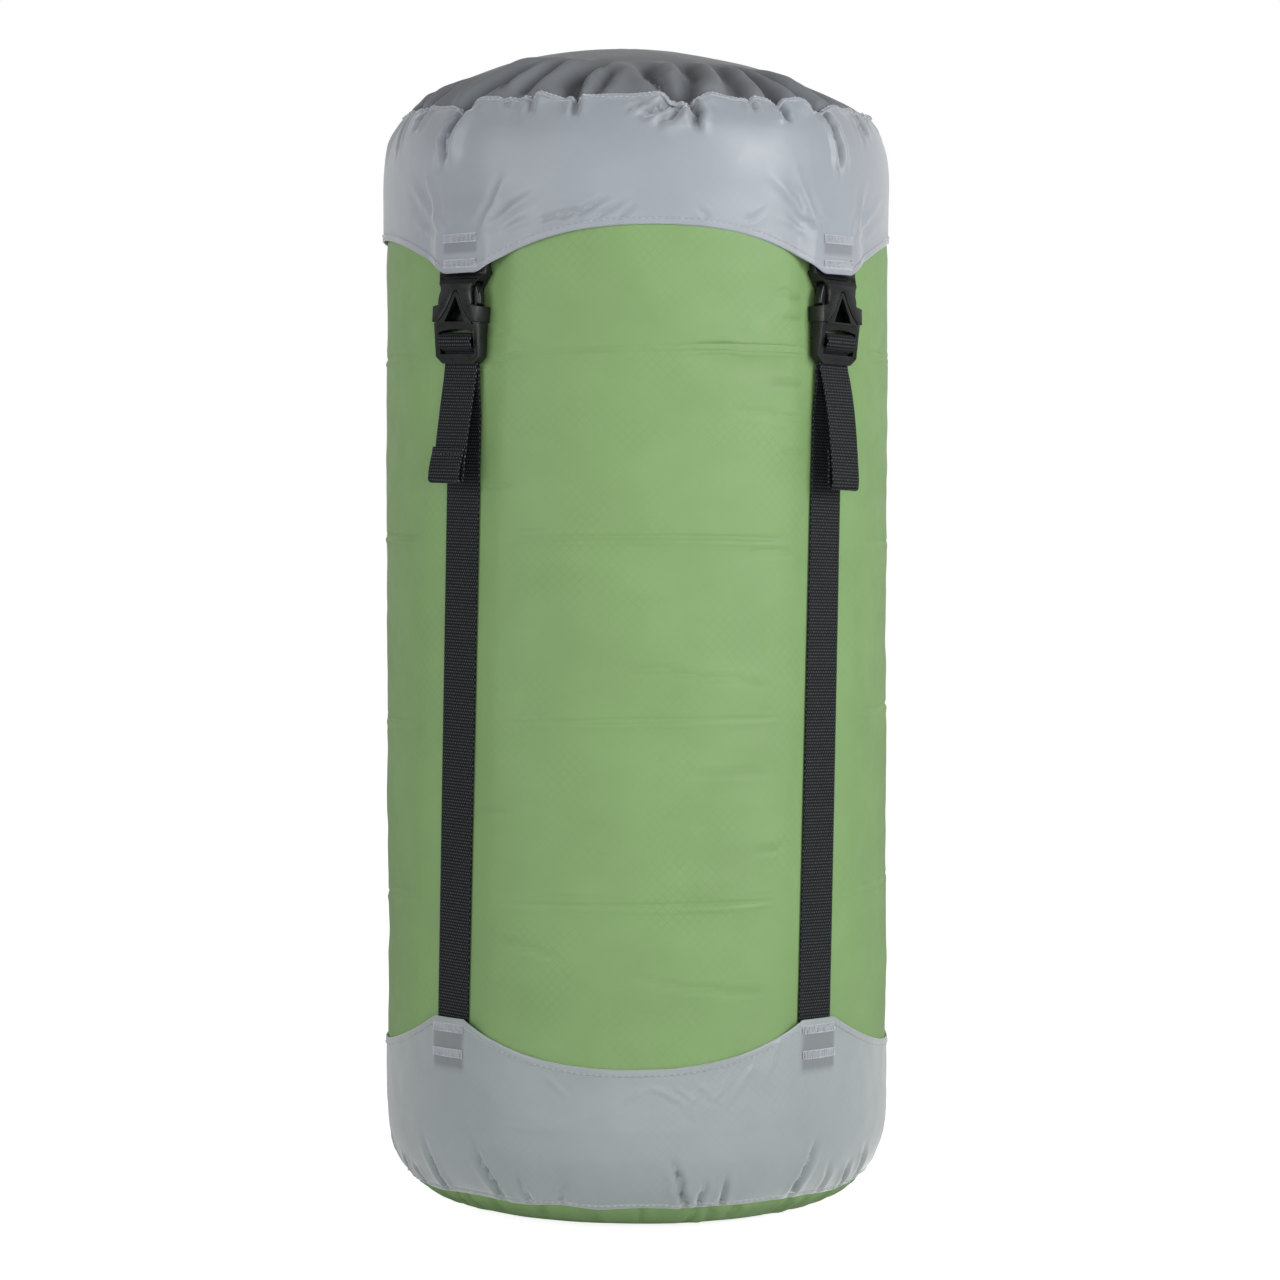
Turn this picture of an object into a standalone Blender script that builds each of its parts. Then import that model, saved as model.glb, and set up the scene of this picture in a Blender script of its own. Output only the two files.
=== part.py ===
"""Compression stuff sack, standing and filled out: a round drawcord bag with a separate lid.

Four webbing straps run from under the bottom band to side-release buckles on the lid.
Units are metres and +Z is up. The origin is the middle of the base, on the ground.
The front of the sack faces -Y, and azimuths are degrees from the front towards +X.
"""

import math

import bmesh
import bpy
from mathutils import Matrix, Vector

# Driving dimensions
SACK_RADIUS = 0.115
FABRIC = 0.0014
GAP = 0.0003
WEBBING_WIDTH = 0.020
WEBBING = 0.0013
STRAPS = 4
COLUMNS_PER_STRAP = 10
COLUMN_DEG = 90.0 / COLUMNS_PER_STRAP

# The straps lean: the lid sits a few degrees further round than the base
TWIST_BASE_DEG = -1.2
TWIST_LID_DEG = 4.0
TWIST_FROM_Z = 0.080
TWIST_TO_Z = 0.420

# Outline of the base panel, from its centre outwards, as (radius, height)
BASE_OUTSIDE = [(0.0, 0.0), (0.072, 0.0), (0.084, 0.0016), (0.092, 0.0040), (0.098, 0.0074), (0.1026, 0.0112)]
BASE_INSIDE = [(0.0, 0.0034), (0.072, 0.0034), (0.084, 0.0043), (0.092, 0.0061), (0.097, 0.0090), (0.1015, 0.0124)]

# Bottom band: rounded lower edge, then straight up to a scalloped hem
BAND_OUTSIDE = [(0.1033, 0.0119), (0.1072, 0.0160), (0.1109, 0.0225), (0.1134, 0.0295), (SACK_RADIUS, 0.047)]
BAND_HEM_LOW_Z = 0.0739
BAND_HEM_HIGH_Z = 0.0918
SCALLOP_POWER = 2.4

# Wall of the bag, inside the band and the lid, pressed flat where a strap or a buckle lies on it
WALL_INSET = 0.0021
WALL_ROWS_Z = [0.066, 0.200, 0.350, 0.410, 0.445, 0.462]
STRAP_DENT = 0.0015
BUCKLE_DENT = 0.0027
DENT_REACH_DEG = COLUMN_DEG * 0.75

# Lid: skirt with a scalloped lower hem, shoulder, and a domed top panel sewn in at the seam
SKIRT_HEM_HIGH_Z = 0.4366
SKIRT_HEM_LOW_Z = 0.4176
SKIRT_SIDE_Z = [0.438, 0.449]
SKIRT_SHOULDER = [(SACK_RADIUS, 0.464), (0.113, 0.478), (0.1098, 0.487), (0.1056, 0.4932)]
SKIRT_BULGE = 0.0039
SKIRT_BULGE_TOP_Z = 0.460
SKIRT_BULGE_FULL_Z = 0.438
DOME_BASE_Z = 0.492
DOME_RISE = 0.033
DOME_RADIUS = 0.1058
DOME_POWER = 0.62
DOME_RINGS = [0.1052, 0.100, 0.088, 0.068, 0.042, 0.018]

# Gathered mouth of the bag, under the lid, drawn in round a captive cord
COLLAR_OUTSIDE = [
    (0.1129, 0.4628),
    (0.1125, 0.4662),
    (0.1109, 0.4765),
    (0.1076, 0.4850),
    (0.1020, 0.4905),
    (0.0900, 0.4928),
    (0.0600, 0.4940),
    (0.0258, 0.4943),
]
MOUTH_RADIUS = 0.021
HEM_Z = 0.4979
HEM_TUBE = 0.0033
HEM_BORE = 0.0021
HEM_OPENING_DEG = 24.0
HEM_STEPS = 28
CORD_RADIUS = 0.0012
CORD_SPACING = 0.0028

# Cord lock, standing upright on the gathered mouth at the front
LOCK_Y = -0.038
LOCK_Z = 0.5039
LOCK_RADIUS = 0.0062
LOCK_BORE = 0.0046
LOCK_BELOW = 0.0096
LOCK_ABOVE = 0.0056
LOCK_FLOOR = 0.0012
PLUNGER_RADIUS = 0.0043
PLUNGER_TRAVEL = 0.003
PLUNGER_TOP = 0.0093
PLUNGER_FOOT = 0.0028
HOLE_HALF_HEIGHT = 0.0016
HOLE_HALF_WIDTH = 0.0030
SPRING_TURNS = 3.5
SPRING_RADIUS = 0.0034
SPRING_WIRE = 0.00025
KNOT_RADIUS = 0.0034

# Straps and buckles; a buckle's frame has u across, v up from its lower edge and w outwards
STRAP_FOOT_Z = 0.0696
STRAP_RADIUS = 0.11205
BUCKLE_Z = 0.378
BUCKLE_RADIUS = 0.1124
BUCKLE_PITCH_DEG = 2.0
RUN_W = 0.0009
RUN_TOP_V = -0.0026
TAIL_W = 0.00255

FRAME_HALF = 0.0132
FRAME_TOP = 0.0174
FRAME_BACK = 0.0006
FRAME_FRONT = 0.0072
WINDOW_HALF = 0.0104
WINDOW_LOW = 0.0040
WINDOW_HIGH = 0.0156
LOWER_BAR_BACK = 0.0035
BAR_V = 0.0096
BAR_W = 0.00375
BAR_RADIUS = 0.0018
GUIDE_BACK = 0.0065
GUIDE_FRONT = 0.0081
GUIDE = [(0.0106, 0.0170), (0.0096, 0.0184), (0.0076, 0.0200), (0.0060, 0.0220), (0.0046, 0.0240),
         (0.0030, 0.0270), (0.0018, 0.0295), (0.0005, 0.0312)]
GUIDE_GROOVE = 0.0004
GUIDE_VOID = [(0.0060, 0.0180), (0.0, 0.0292), (-0.0060, 0.0180)]

SHELL_LOW = 0.0179
SHELL_THICK = 0.0083
SHELL = [(0.0137, SHELL_LOW), (0.0137, 0.0247), (0.0098, 0.0256), (0.0093, 0.0300), (0.0098, 0.0330),
         (0.0115, 0.0355), (0.0140, 0.0390), (0.0140, 0.0460), (0.0130, 0.0470)]
CAVITY_HALF = 0.0116
CAVITY_TOP = 0.0369
CAVITY_BACK = 0.0019
CAVITY_FRONT = 0.0064
SLOT_LOW = 0.0410
SLOT_HIGH = 0.0440
NECK_FRONT = 0.0043
NECK_BACK = 0.0009

PRONG_BACK = 0.0024
PRONG_FRONT = 0.0060
PRONG_HINGE = (0.0097, 0.0188)
PRONG = [(0.0084, SHELL_LOW), (0.0110, SHELL_LOW), (0.0110, 0.0256), (0.0129, 0.0256), (0.0126, 0.0290),
         (0.0110, 0.0335), (0.0086, 0.0360), (0.0072, 0.0355), (0.0076, 0.0300), (0.0084, 0.0250)]

# Hauling handle: a band of webbing laid across the base, in a shallow groove
HANDLE_RIGHT_DEG = 95.0
HANDLE_LEFT_DEG = -104.0
HANDLE_END_RADIUS = 0.1010
HANDLE_TOP_Z = 0.00145
HANDLE_CLEAR = 0.00045
HANDLE_STATIONS = [-1.0, -0.97, -0.94, -0.90, -0.86, -0.82, -0.72, -0.36]
GROOVE_TOP_Z = 0.00185
GROOVE_HALF_WIDTH = 0.0105
GROOVE_HALF_LENGTH = 0.090

GREEN = (0.25, 0.36, 0.17)
GREY = (0.40, 0.42, 0.46)
DARK_GREY = (0.15, 0.16, 0.18)
WEBBING_BLACK = (0.022, 0.026, 0.029)
PLASTIC_BLACK = (0.024, 0.025, 0.026)
STEEL = (0.55, 0.55, 0.54)


# --- Scene helpers ---------------------------------------------------------------------------


def clear_scene():
    for obj in list(bpy.data.objects):
        bpy.data.objects.remove(obj, do_unlink=True)


def material(name, colour, roughness, metallic=0.0):
    made = bpy.data.materials.new(name)
    made.use_nodes = True
    shader = made.node_tree.nodes["Principled BSDF"]
    shader.inputs["Base Color"].default_value = (*colour, 1.0)
    shader.inputs["Roughness"].default_value = roughness
    shader.inputs["Metallic"].default_value = metallic
    return made


def place(name, mesh, finish, parent=None, location=(0.0, 0.0, 0.0)):
    """An object of this mesh, in its parent's frame."""
    obj = bpy.data.objects.new(name, mesh)
    bpy.context.scene.collection.objects.link(obj)
    if not mesh.materials:
        mesh.materials.append(finish)
    obj.parent = parent
    obj.location = location
    return obj


def empty(name, frame):
    obj = bpy.data.objects.new(name, None)
    bpy.context.scene.collection.objects.link(obj)
    obj.matrix_world = frame
    return obj


# --- Mesh helpers ----------------------------------------------------------------------------


def loft(name, rings, closed=False):
    """A solid through rings of points; a ring of one point is a pole, and closed joins the ends."""
    made = bmesh.new()
    rows = [[made.verts.new(p) for p in ring] for ring in rings]
    pairs = list(zip(rows, rows[1:]))
    if closed:
        pairs.append((rows[-1], rows[0]))
    for low, high in pairs:
        count = max(len(low), len(high))
        for i in range(count):
            j = (i + 1) % count
            if len(low) == 1:
                made.faces.new((low[0], high[j], high[i]))
            elif len(high) == 1:
                made.faces.new((low[i], low[j], high[0]))
            else:
                made.faces.new((low[i], low[j], high[j], high[i]))
    if not closed:
        for row in (rows[0], rows[-1]):
            if len(row) > 1:
                made.faces.new(row)
    bmesh.ops.recalc_face_normals(made, faces=made.faces)
    mesh = bpy.data.meshes.new(name)
    made.to_mesh(mesh)
    made.free()
    return mesh


def carve(name, base, adds=(), cuts=()):
    """The mesh of base joined with adds and then cut by cuts."""
    holder = bpy.data.objects.new(name, base)
    bpy.context.scene.collection.objects.link(holder)
    tools = []
    for other, operation in [(m, "UNION") for m in adds] + [(m, "DIFFERENCE") for m in cuts]:
        tool = bpy.data.objects.new("tool", other)
        bpy.context.scene.collection.objects.link(tool)
        tools.append(tool)
        step = holder.modifiers.new("step", "BOOLEAN")
        step.object = tool
        step.operation = operation
        step.solver = "EXACT"
    bpy.context.view_layer.update()
    evaluated = holder.evaluated_get(bpy.context.evaluated_depsgraph_get())
    mesh = bpy.data.meshes.new_from_object(evaluated)
    mesh.name = name
    for obj in [holder, *tools]:
        bpy.data.objects.remove(obj, do_unlink=True)
    return mesh


def buckle_point(u, v, w):
    """A point of a buckle's frame: outwards is -Y before the frame is turned to its azimuth."""
    return Vector((u, -w, v))


def plate(name, outline, low, high):
    """An outline of (u, v) points, extruded outwards from low to high."""
    return loft(name, [[buckle_point(u, v, w) for u, v in outline] for w in (low, high)])


def ribbon(name, path, half_width, thickness):
    """A strip of webbing that follows a path of (v, w) points, with its width along u."""
    rings = []
    for i, (v, w) in enumerate(path):
        before = path[max(i - 1, 0)]
        after = path[min(i + 1, len(path) - 1)]
        along = Vector((after[0] - before[0], after[1] - before[1])).normalized()
        off = Vector((-along.y, along.x)) * thickness / 2
        rings.append(
            [
                buckle_point(-half_width, v - off.x, w - off.y),
                buckle_point(half_width, v - off.x, w - off.y),
                buckle_point(half_width, v + off.x, w + off.y),
                buckle_point(-half_width, v + off.x, w + off.y),
            ]
        )
    return loft(name, rings)


def cylinder(name, radius, start, end, sides):
    """A round bar between two points that differ along one axis."""
    start, end = Vector(start), Vector(end)
    turn = (end - start).to_track_quat("Z", "Y")
    circle = [
        Vector((radius * math.cos(a), radius * math.sin(a), 0.0))
        for a in (2 * math.pi * (i + 0.5) / sides for i in range(sides))
    ]
    return loft(name, [[start + turn @ p for p in circle], [end + turn @ p for p in circle]])


def tube(name, points, radius, sides):
    """A round cord along points, with flat ends."""
    rings = []
    up = Vector((0.0, 0.0, 1.0))
    for i, point in enumerate(points):
        before = points[max(i - 1, 0)]
        after = points[min(i + 1, len(points) - 1)]
        along = (after - before).normalized()
        side = along.cross(up).normalized()
        top = side.cross(along)
        turns = [2 * math.pi * k / sides for k in range(sides)]
        rings.append([point + radius * (side * math.cos(t) + top * math.sin(t)) for t in turns])
    return loft(name, rings)


def box(name, low, high):
    corners = [(low[0], low[1]), (high[0], low[1]), (high[0], high[1]), (low[0], high[1])]
    return loft(name, [[Vector((x, y, z)) for x, y in corners] for z in (low[2], high[2])])


# --- The sack's own geometry -----------------------------------------------------------------


def smooth_step(low, high, value):
    t = min(max((value - low) / (high - low), 0.0), 1.0)
    return t * t * (3 - 2 * t)


def between(table, value):
    """Straight-line reading of a table of (key, value) pairs."""
    for (x0, y0), (x1, y1) in zip(table, table[1:]):
        if value <= x1:
            return y0 + (y1 - y0) * max(value - x0, 0.0) / (x1 - x0)
    return table[-1][1]


def polar(azimuth_deg, radius, z):
    turn = math.radians(azimuth_deg)
    return Vector((radius * math.sin(turn), -radius * math.cos(turn), z))


def twist_deg(z):
    share = min(max((z - TWIST_FROM_Z) / (TWIST_TO_Z - TWIST_FROM_Z), 0.0), 1.0)
    return TWIST_BASE_DEG + (TWIST_LID_DEG - TWIST_BASE_DEG) * share


def strap_azimuth(index, z):
    return 45.0 + 90.0 * index + twist_deg(z)


def columns():
    """Each column of the fabric: its strap, and how far round from that strap it is."""
    for strap in range(STRAPS):
        for step in range(COLUMNS_PER_STRAP):
            yield strap, (step + 0.5) * COLUMN_DEG - 45.0


def fabric_ring(radius_at, z_at):
    """A ring of fabric points; radius_at(offset) and z_at(offset) depend on the nearest strap."""
    return [
        polar(strap_azimuth(strap, z_at(offset)) + offset, radius_at(offset), z_at(offset))
        for strap, offset in columns()
    ]


def plain_ring(radius, z):
    return fabric_ring(lambda offset: radius, lambda offset: z)


def inset(profile, distance):
    """The profile moved to the inside of the sack; profiles run from the base to the top."""
    moved = []
    for i, (r, z) in enumerate(profile):
        before = profile[max(i - 1, 0)]
        after = profile[min(i + 1, len(profile) - 1)]
        along = Vector((after[0] - before[0], after[1] - before[1])).normalized()
        moved.append((r - along.y * distance, z + along.x * distance))
    return moved


def scallop(offset):
    """1 at a strap, falling to 0 halfway between two straps."""
    return (1 - max(abs(offset) - COLUMN_DEG / 2, 0.0) / (45.0 - COLUMN_DEG / 2)) ** SCALLOP_POWER


def rings_of(profile):
    return [plain_ring(r, z) if r > 0 else [Vector((0.0, 0.0, z))] for r, z in profile]


def shell(name, outside, inside):
    """A thin solid between two profiles that run the same way."""
    return loft(name, rings_of(outside) + rings_of(inside)[::-1])


def handle_line():
    """The middle of the handle, the way along it and the way across it."""
    right = polar(HANDLE_RIGHT_DEG, HANDLE_END_RADIUS, 0.0)
    left = polar(HANDLE_LEFT_DEG, HANDLE_END_RADIUS, 0.0)
    along = (right - left) / 2
    across = Vector((-along.y, along.x, 0.0)).normalized()
    return (right + left) / 2, along, across


def bottom_panel(finish):
    middle, along, across = handle_line()
    way = along.normalized()
    corners = [(-1, -1), (1, -1), (1, 1), (-1, 1)]
    groove = loft(
        "groove",
        [
            [
                middle + way * GROOVE_HALF_LENGTH * a + across * GROOVE_HALF_WIDTH * b + Vector((0, 0, z))
                for a, b in corners
            ]
            for z in (-0.001, GROOVE_TOP_Z)
        ],
    )
    dish = loft("bottom_panel", rings_of(BASE_OUTSIDE) + rings_of(BASE_INSIDE)[::-1])
    place("bottom_panel", carve("bottom_panel", dish, cuts=[groove]), finish)


def bottom_band(finish):
    def hem_z(offset):
        return BAND_HEM_LOW_Z + (BAND_HEM_HIGH_Z - BAND_HEM_LOW_Z) * scallop(offset)

    inside = inset(BAND_OUTSIDE, FABRIC)
    inner = SACK_RADIUS - FABRIC
    inside[-1] = (inner, inside[-1][1])
    rings = rings_of(BAND_OUTSIDE)
    rings.append(fabric_ring(lambda offset: SACK_RADIUS, hem_z))
    rings.append(fabric_ring(lambda offset: inner, hem_z))
    rings += rings_of(inside)[::-1]
    place("bottom_band", loft("bottom_band", rings, closed=True), finish)


def wall_dent(z):
    rows = [(0.030, 0.0), (0.066, STRAP_DENT), (0.350, STRAP_DENT), (0.410, BUCKLE_DENT)]
    return between(rows, z)


def bag_wall(finish):
    """The tube of fabric between the base and the gathered mouth."""
    profile = inset(BAND_OUTSIDE, WALL_INSET)
    outer = SACK_RADIUS - WALL_INSET
    profile[-1] = (outer, profile[-1][1])
    profile += [(outer, z) for z in WALL_ROWS_Z]
    lining = inset(profile, FABRIC)

    def ring(r, z):
        return fabric_ring(
            lambda offset: r - (wall_dent(z) if abs(offset) < DENT_REACH_DEG else 0.0), lambda offset: z
        )

    rings = [ring(r, z) for r, z in profile] + [ring(r, z) for r, z in lining][::-1]
    place("bag_wall", loft("bag_wall", rings, closed=True), finish)


def haul_handle(finish):
    middle, along, across = handle_line()
    stations = HANDLE_STATIONS + [-s for s in HANDLE_STATIONS[::-1]]
    half = WEBBING_WIDTH / 2
    rings = []
    for s in stations:
        top, low = [], []
        for side in (-half, 0.0, half):
            spot = middle + along * s + across * side
            surface = between(BASE_OUTSIDE, spot.length) - HANDLE_CLEAR
            slope = (between(BASE_OUTSIDE, spot.length + 0.001) - between(BASE_OUTSIDE, spot.length - 0.001)) / 0.002
            z = max(HANDLE_TOP_Z, surface)
            depth = WEBBING * math.sqrt(1 + slope**2) if surface > HANDLE_TOP_Z else WEBBING
            top.append(spot + Vector((0, 0, z)))
            low.append(spot + Vector((0, 0, max(z - depth, HANDLE_TOP_Z - WEBBING))))
        rings.append(top + low[::-1])
    place("haul_handle", loft("haul_handle", rings), finish)


def mouth_collar(finish):
    """Pressed in above each buckle as far as the wall is, so that the lid can be lifted off past it."""

    def ring(r, z, limit):
        return fabric_ring(lambda offset: min(r, limit) if abs(offset) < DENT_REACH_DEG else r, lambda offset: z)

    limit = SACK_RADIUS - WALL_INSET - BUCKLE_DENT
    inside = inset(COLLAR_OUTSIDE, FABRIC)
    rings = [ring(r, z, limit) for r, z in COLLAR_OUTSIDE] + [ring(r, z, limit - FABRIC) for r, z in inside][::-1]
    place("mouth_collar", loft("mouth_collar", rings, closed=True), finish)


def hem_rings(radius, sides):
    rings = []
    for step in range(HEM_STEPS + 1):
        azimuth = HEM_OPENING_DEG + (360.0 - 2 * HEM_OPENING_DEG) * step / HEM_STEPS
        turns = [2 * math.pi * (k + 0.5) / sides for k in range(sides)]
        rings.append(
            [polar(azimuth, MOUTH_RADIUS + radius * math.cos(t), HEM_Z + radius * math.sin(t)) for t in turns]
        )
    return rings


def drawcord_hem(finish):
    """The sewn channel round the mouth, open at the front where the cord comes out."""
    rings = hem_rings(HEM_TUBE, 8) + hem_rings(HEM_BORE, 8)[::-1]
    place("drawcord_hem", loft("drawcord_hem", rings, closed=True), finish)


def drawcord(finish):
    """The captive cord: round the mouth, through the lock as two strands, and into a knot."""
    half = CORD_SPACING / 2
    knot_y = LOCK_Y - 0.0108
    strand = [
        Vector((half, knot_y, LOCK_Z)),
        Vector((half, LOCK_Y, LOCK_Z)),
        Vector((half, LOCK_Y + 0.0078, LOCK_Z)),
        Vector((0.0022, -0.0265, 0.5019)),
        Vector((0.0042, -0.0228, 0.4992)),
    ]
    first = HEM_OPENING_DEG - 4.0
    ring = [polar(first + (360.0 - 2 * first) * i / 40, MOUTH_RADIUS, HEM_Z) for i in range(41)]
    other = [Vector((-p.x, p.y, p.z)) for p in strand[::-1]]
    cord = tube("drawcord", strand + ring + other, CORD_RADIUS, 6)
    made = bmesh.new()
    bmesh.ops.create_icosphere(made, subdivisions=2, radius=KNOT_RADIUS)
    bmesh.ops.translate(made, verts=made.verts, vec=(0.0, knot_y, LOCK_Z))
    knot = bpy.data.meshes.new("knot")
    made.to_mesh(knot)
    made.free()
    place("drawcord", carve("drawcord", cord, adds=[knot]), finish)


def cord_hole(low, high):
    """The cutter for the cords' way through the lock, from front to back."""
    reach = LOCK_RADIUS + 0.002
    return box("hole", (-HOLE_HALF_WIDTH, -reach, low), (HOLE_HALF_WIDTH, reach, high))


def cord_lock(plastic, steel):
    """Barrel, button and spring; the button is pushed down to free the cords."""
    stand = empty("cord_lock_frame", Matrix.Translation((0.0, LOCK_Y, LOCK_Z)))
    barrel = cylinder("barrel", LOCK_RADIUS, (0, 0, -LOCK_BELOW), (0, 0, LOCK_ABOVE), 20)
    bore = cylinder("bore", LOCK_BORE, (0, 0, LOCK_FLOOR - LOCK_BELOW), (0, 0, LOCK_ABOVE + 0.001), 20)
    hole = cord_hole(-HOLE_HALF_HEIGHT, HOLE_HALF_HEIGHT)
    place("cord_lock_barrel", carve("cord_lock_barrel", barrel, cuts=[bore, hole]), plastic, stand)

    plug = cylinder("plug", PLUNGER_RADIUS, (0, 0, -PLUNGER_FOOT), (0, 0, PLUNGER_TOP), 20)
    clear = CORD_RADIUS + GAP
    slot = cord_hole(-clear, clear + PLUNGER_TRAVEL)
    place("cord_lock_button", carve("cord_lock_button", plug, cuts=[slot]), plastic, stand)

    low = LOCK_FLOOR - LOCK_BELOW + GAP + SPRING_WIRE
    high = -PLUNGER_FOOT - GAP - SPRING_WIRE
    steps = int(SPRING_TURNS * 12)
    coil = [
        Vector((
            SPRING_RADIUS * math.cos(2 * math.pi * SPRING_TURNS * i / steps),
            SPRING_RADIUS * math.sin(2 * math.pi * SPRING_TURNS * i / steps),
            low + (high - low) * i / steps,
        ))
        for i in range(steps + 1)
    ]
    place("cord_lock_spring", tube("cord_lock_spring", coil, SPRING_WIRE, 6), steel, stand)


def lid_skirt(finish):
    def hem_z(offset):
        return SKIRT_HEM_HIGH_Z - (SKIRT_HEM_HIGH_Z - SKIRT_HEM_LOW_Z) * scallop(offset)

    def bulge(offset, z):
        sideways = between([(COLUMN_DEG / 2, 1.0), (COLUMN_DEG * 1.5, 0.65), (COLUMN_DEG * 2.5, 0.0)], abs(offset))
        return SKIRT_BULGE * sideways * (1 - smooth_step(SKIRT_BULGE_FULL_Z, SKIRT_BULGE_TOP_Z, z))

    def side_ring(radius, z_at):
        return fabric_ring(lambda offset: radius + bulge(offset, z_at(offset)), z_at)

    def side(radius):
        levels = [hem_z] + [lambda offset, z=z: z for z in SKIRT_SIDE_Z]
        return [side_ring(radius, z_at) for z_at in levels]

    inner = SACK_RADIUS - FABRIC
    shoulder_inside = inset(SKIRT_SHOULDER, FABRIC)
    shoulder_inside[0] = (inner, SKIRT_SHOULDER[0][1])
    outside = side(SACK_RADIUS) + rings_of(SKIRT_SHOULDER)
    inside = side(inner) + rings_of(shoulder_inside)
    place("lid_skirt", loft("lid_skirt", outside + inside[::-1], closed=True), finish)


def lid_top(finish):
    """The domed round panel of the lid."""
    dome = [(r, DOME_BASE_Z + DOME_RISE * (1 - (r / DOME_RADIUS) ** 2) ** DOME_POWER) for r in DOME_RINGS]
    dome.append((0.0, DOME_BASE_Z + DOME_RISE))
    inside = inset(dome, FABRIC)
    inside[-1] = (0.0, dome[-1][1] - FABRIC)
    rings = rings_of(dome)[::-1] + rings_of(inside)
    place("lid_top", loft("lid_top", rings), finish)


# --- Straps and buckles ----------------------------------------------------------------------


def buckle_frame(index):
    """Where a buckle lies: turned to its strap, leaning with it, and its lower end standing out."""
    rise = TWIST_TO_Z - TWIST_FROM_Z
    sideways = STRAP_RADIUS * math.radians(TWIST_LID_DEG - TWIST_BASE_DEG)
    lean = math.atan2(sideways, rise)
    turn = Matrix.Rotation(math.radians(strap_azimuth(index, BUCKLE_Z)), 4, "Z")
    spot = Matrix.Translation((0.0, -BUCKLE_RADIUS, BUCKLE_Z))
    pitch = Matrix.Rotation(math.radians(-BUCKLE_PITCH_DEG), 4, "X")
    return turn @ spot @ Matrix.Rotation(lean, 4, "Y") @ pitch


def strap_run(index, frame, finish):
    """The standing part of a strap, from under the bottom band up to its buckle."""
    rings = []
    half = WEBBING_WIDTH / 2
    for z in (STRAP_FOOT_Z, 0.12, 0.19, 0.26, 0.32, 0.355):
        azimuth = strap_azimuth(index, z)
        rings.append([
            polar(azimuth, r, z) + polar(azimuth + 90.0, u, 0.0)
            for u, r in (
                (-half, STRAP_RADIUS - WEBBING / 2),
                (half, STRAP_RADIUS - WEBBING / 2),
                (half, STRAP_RADIUS + WEBBING / 2),
                (-half, STRAP_RADIUS + WEBBING / 2),
            )
        ])
    for v in (-0.008, RUN_TOP_V):
        low, high = RUN_W - WEBBING / 2, RUN_W + WEBBING / 2
        corners = [(-half, low), (half, low), (half, high), (-half, high)]
        rings.append([frame @ buckle_point(u, v, w) for u, w in corners])
    name = f"strap_run_{index + 1}"
    place(name, loft(name, rings), finish)


def tail_mesh():
    """Webbing round the buckle's bar and down in front of the run, ending in a folded loop."""
    round_bar = WEBBING / 2 + BAR_RADIUS + 0.00035
    path = [(-0.0016, RUN_W), (0.0030, RUN_W), (BAR_V - 0.0012, RUN_W + 0.00005)]
    for degrees in range(170, -61, -23):
        turn = math.radians(degrees)
        path.append((BAR_V + round_bar * math.sin(turn), BAR_W + round_bar * math.cos(turn)))
    path += [(0.0052, TAIL_W + 0.0002), (0.0040, TAIL_W), (-0.0020, TAIL_W)]
    path += [(-0.006, 0.0029), (-0.015, 0.0042), (-0.025, 0.0056), (-0.0345, 0.00685), (-0.0505, 0.0086)]
    loop_v, loop_w, loop_r = -0.0506, 0.0070, 0.0016
    for degrees in range(-30, -181, -30):
        turn = math.radians(degrees)
        path.append((loop_v + loop_r * math.sin(turn), loop_w + loop_r * math.cos(turn)))
    path += [(-0.0440, 0.0052), (-0.0350, 0.0050)]
    return ribbon("strap_tail", path, WEBBING_WIDTH / 2, WEBBING)


def both_sides(outline):
    """A right-hand outline of (u, v), from the foot to the top, with its mirror image."""
    return outline + [(-u, v) for u, v in outline[::-1]]


def male_mesh():
    """Ladder frame with the centre bar, and the pointed guide that fills the shell's front."""
    frame = plate(
        "buckle_male",
        both_sides([(FRAME_HALF - 0.003, 0.0), (FRAME_HALF, 0.003), (FRAME_HALF, FRAME_TOP)]),
        FRAME_BACK,
        FRAME_FRONT,
    )
    window = plate(
        "window",
        both_sides([(WINDOW_HALF, WINDOW_LOW), (WINDOW_HALF, WINDOW_HIGH)]),
        FRAME_BACK - 0.001,
        FRAME_FRONT + 0.001,
    )
    behind_bar = plate(
        "behind_bar",
        both_sides([(WINDOW_HALF, -0.001), (WINDOW_HALF, WINDOW_LOW + 0.001)]),
        FRAME_BACK - 0.001,
        LOWER_BAR_BACK,
    )
    reach = WINDOW_HALF + 0.0012
    bar = cylinder("bar", BAR_RADIUS, buckle_point(-reach, BAR_V, BAR_W), buckle_point(reach, BAR_V, BAR_W), 12)
    guide = plate("guide", both_sides(GUIDE), GUIDE_BACK, GUIDE_FRONT)
    void = plate("void", GUIDE_VOID, GUIDE_BACK - 0.001, GUIDE_FRONT + 0.001)
    ladder = carve("ladder", frame, cuts=[window, behind_bar])
    return carve("buckle_male", ladder, adds=[bar, guide], cuts=[void])


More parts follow.
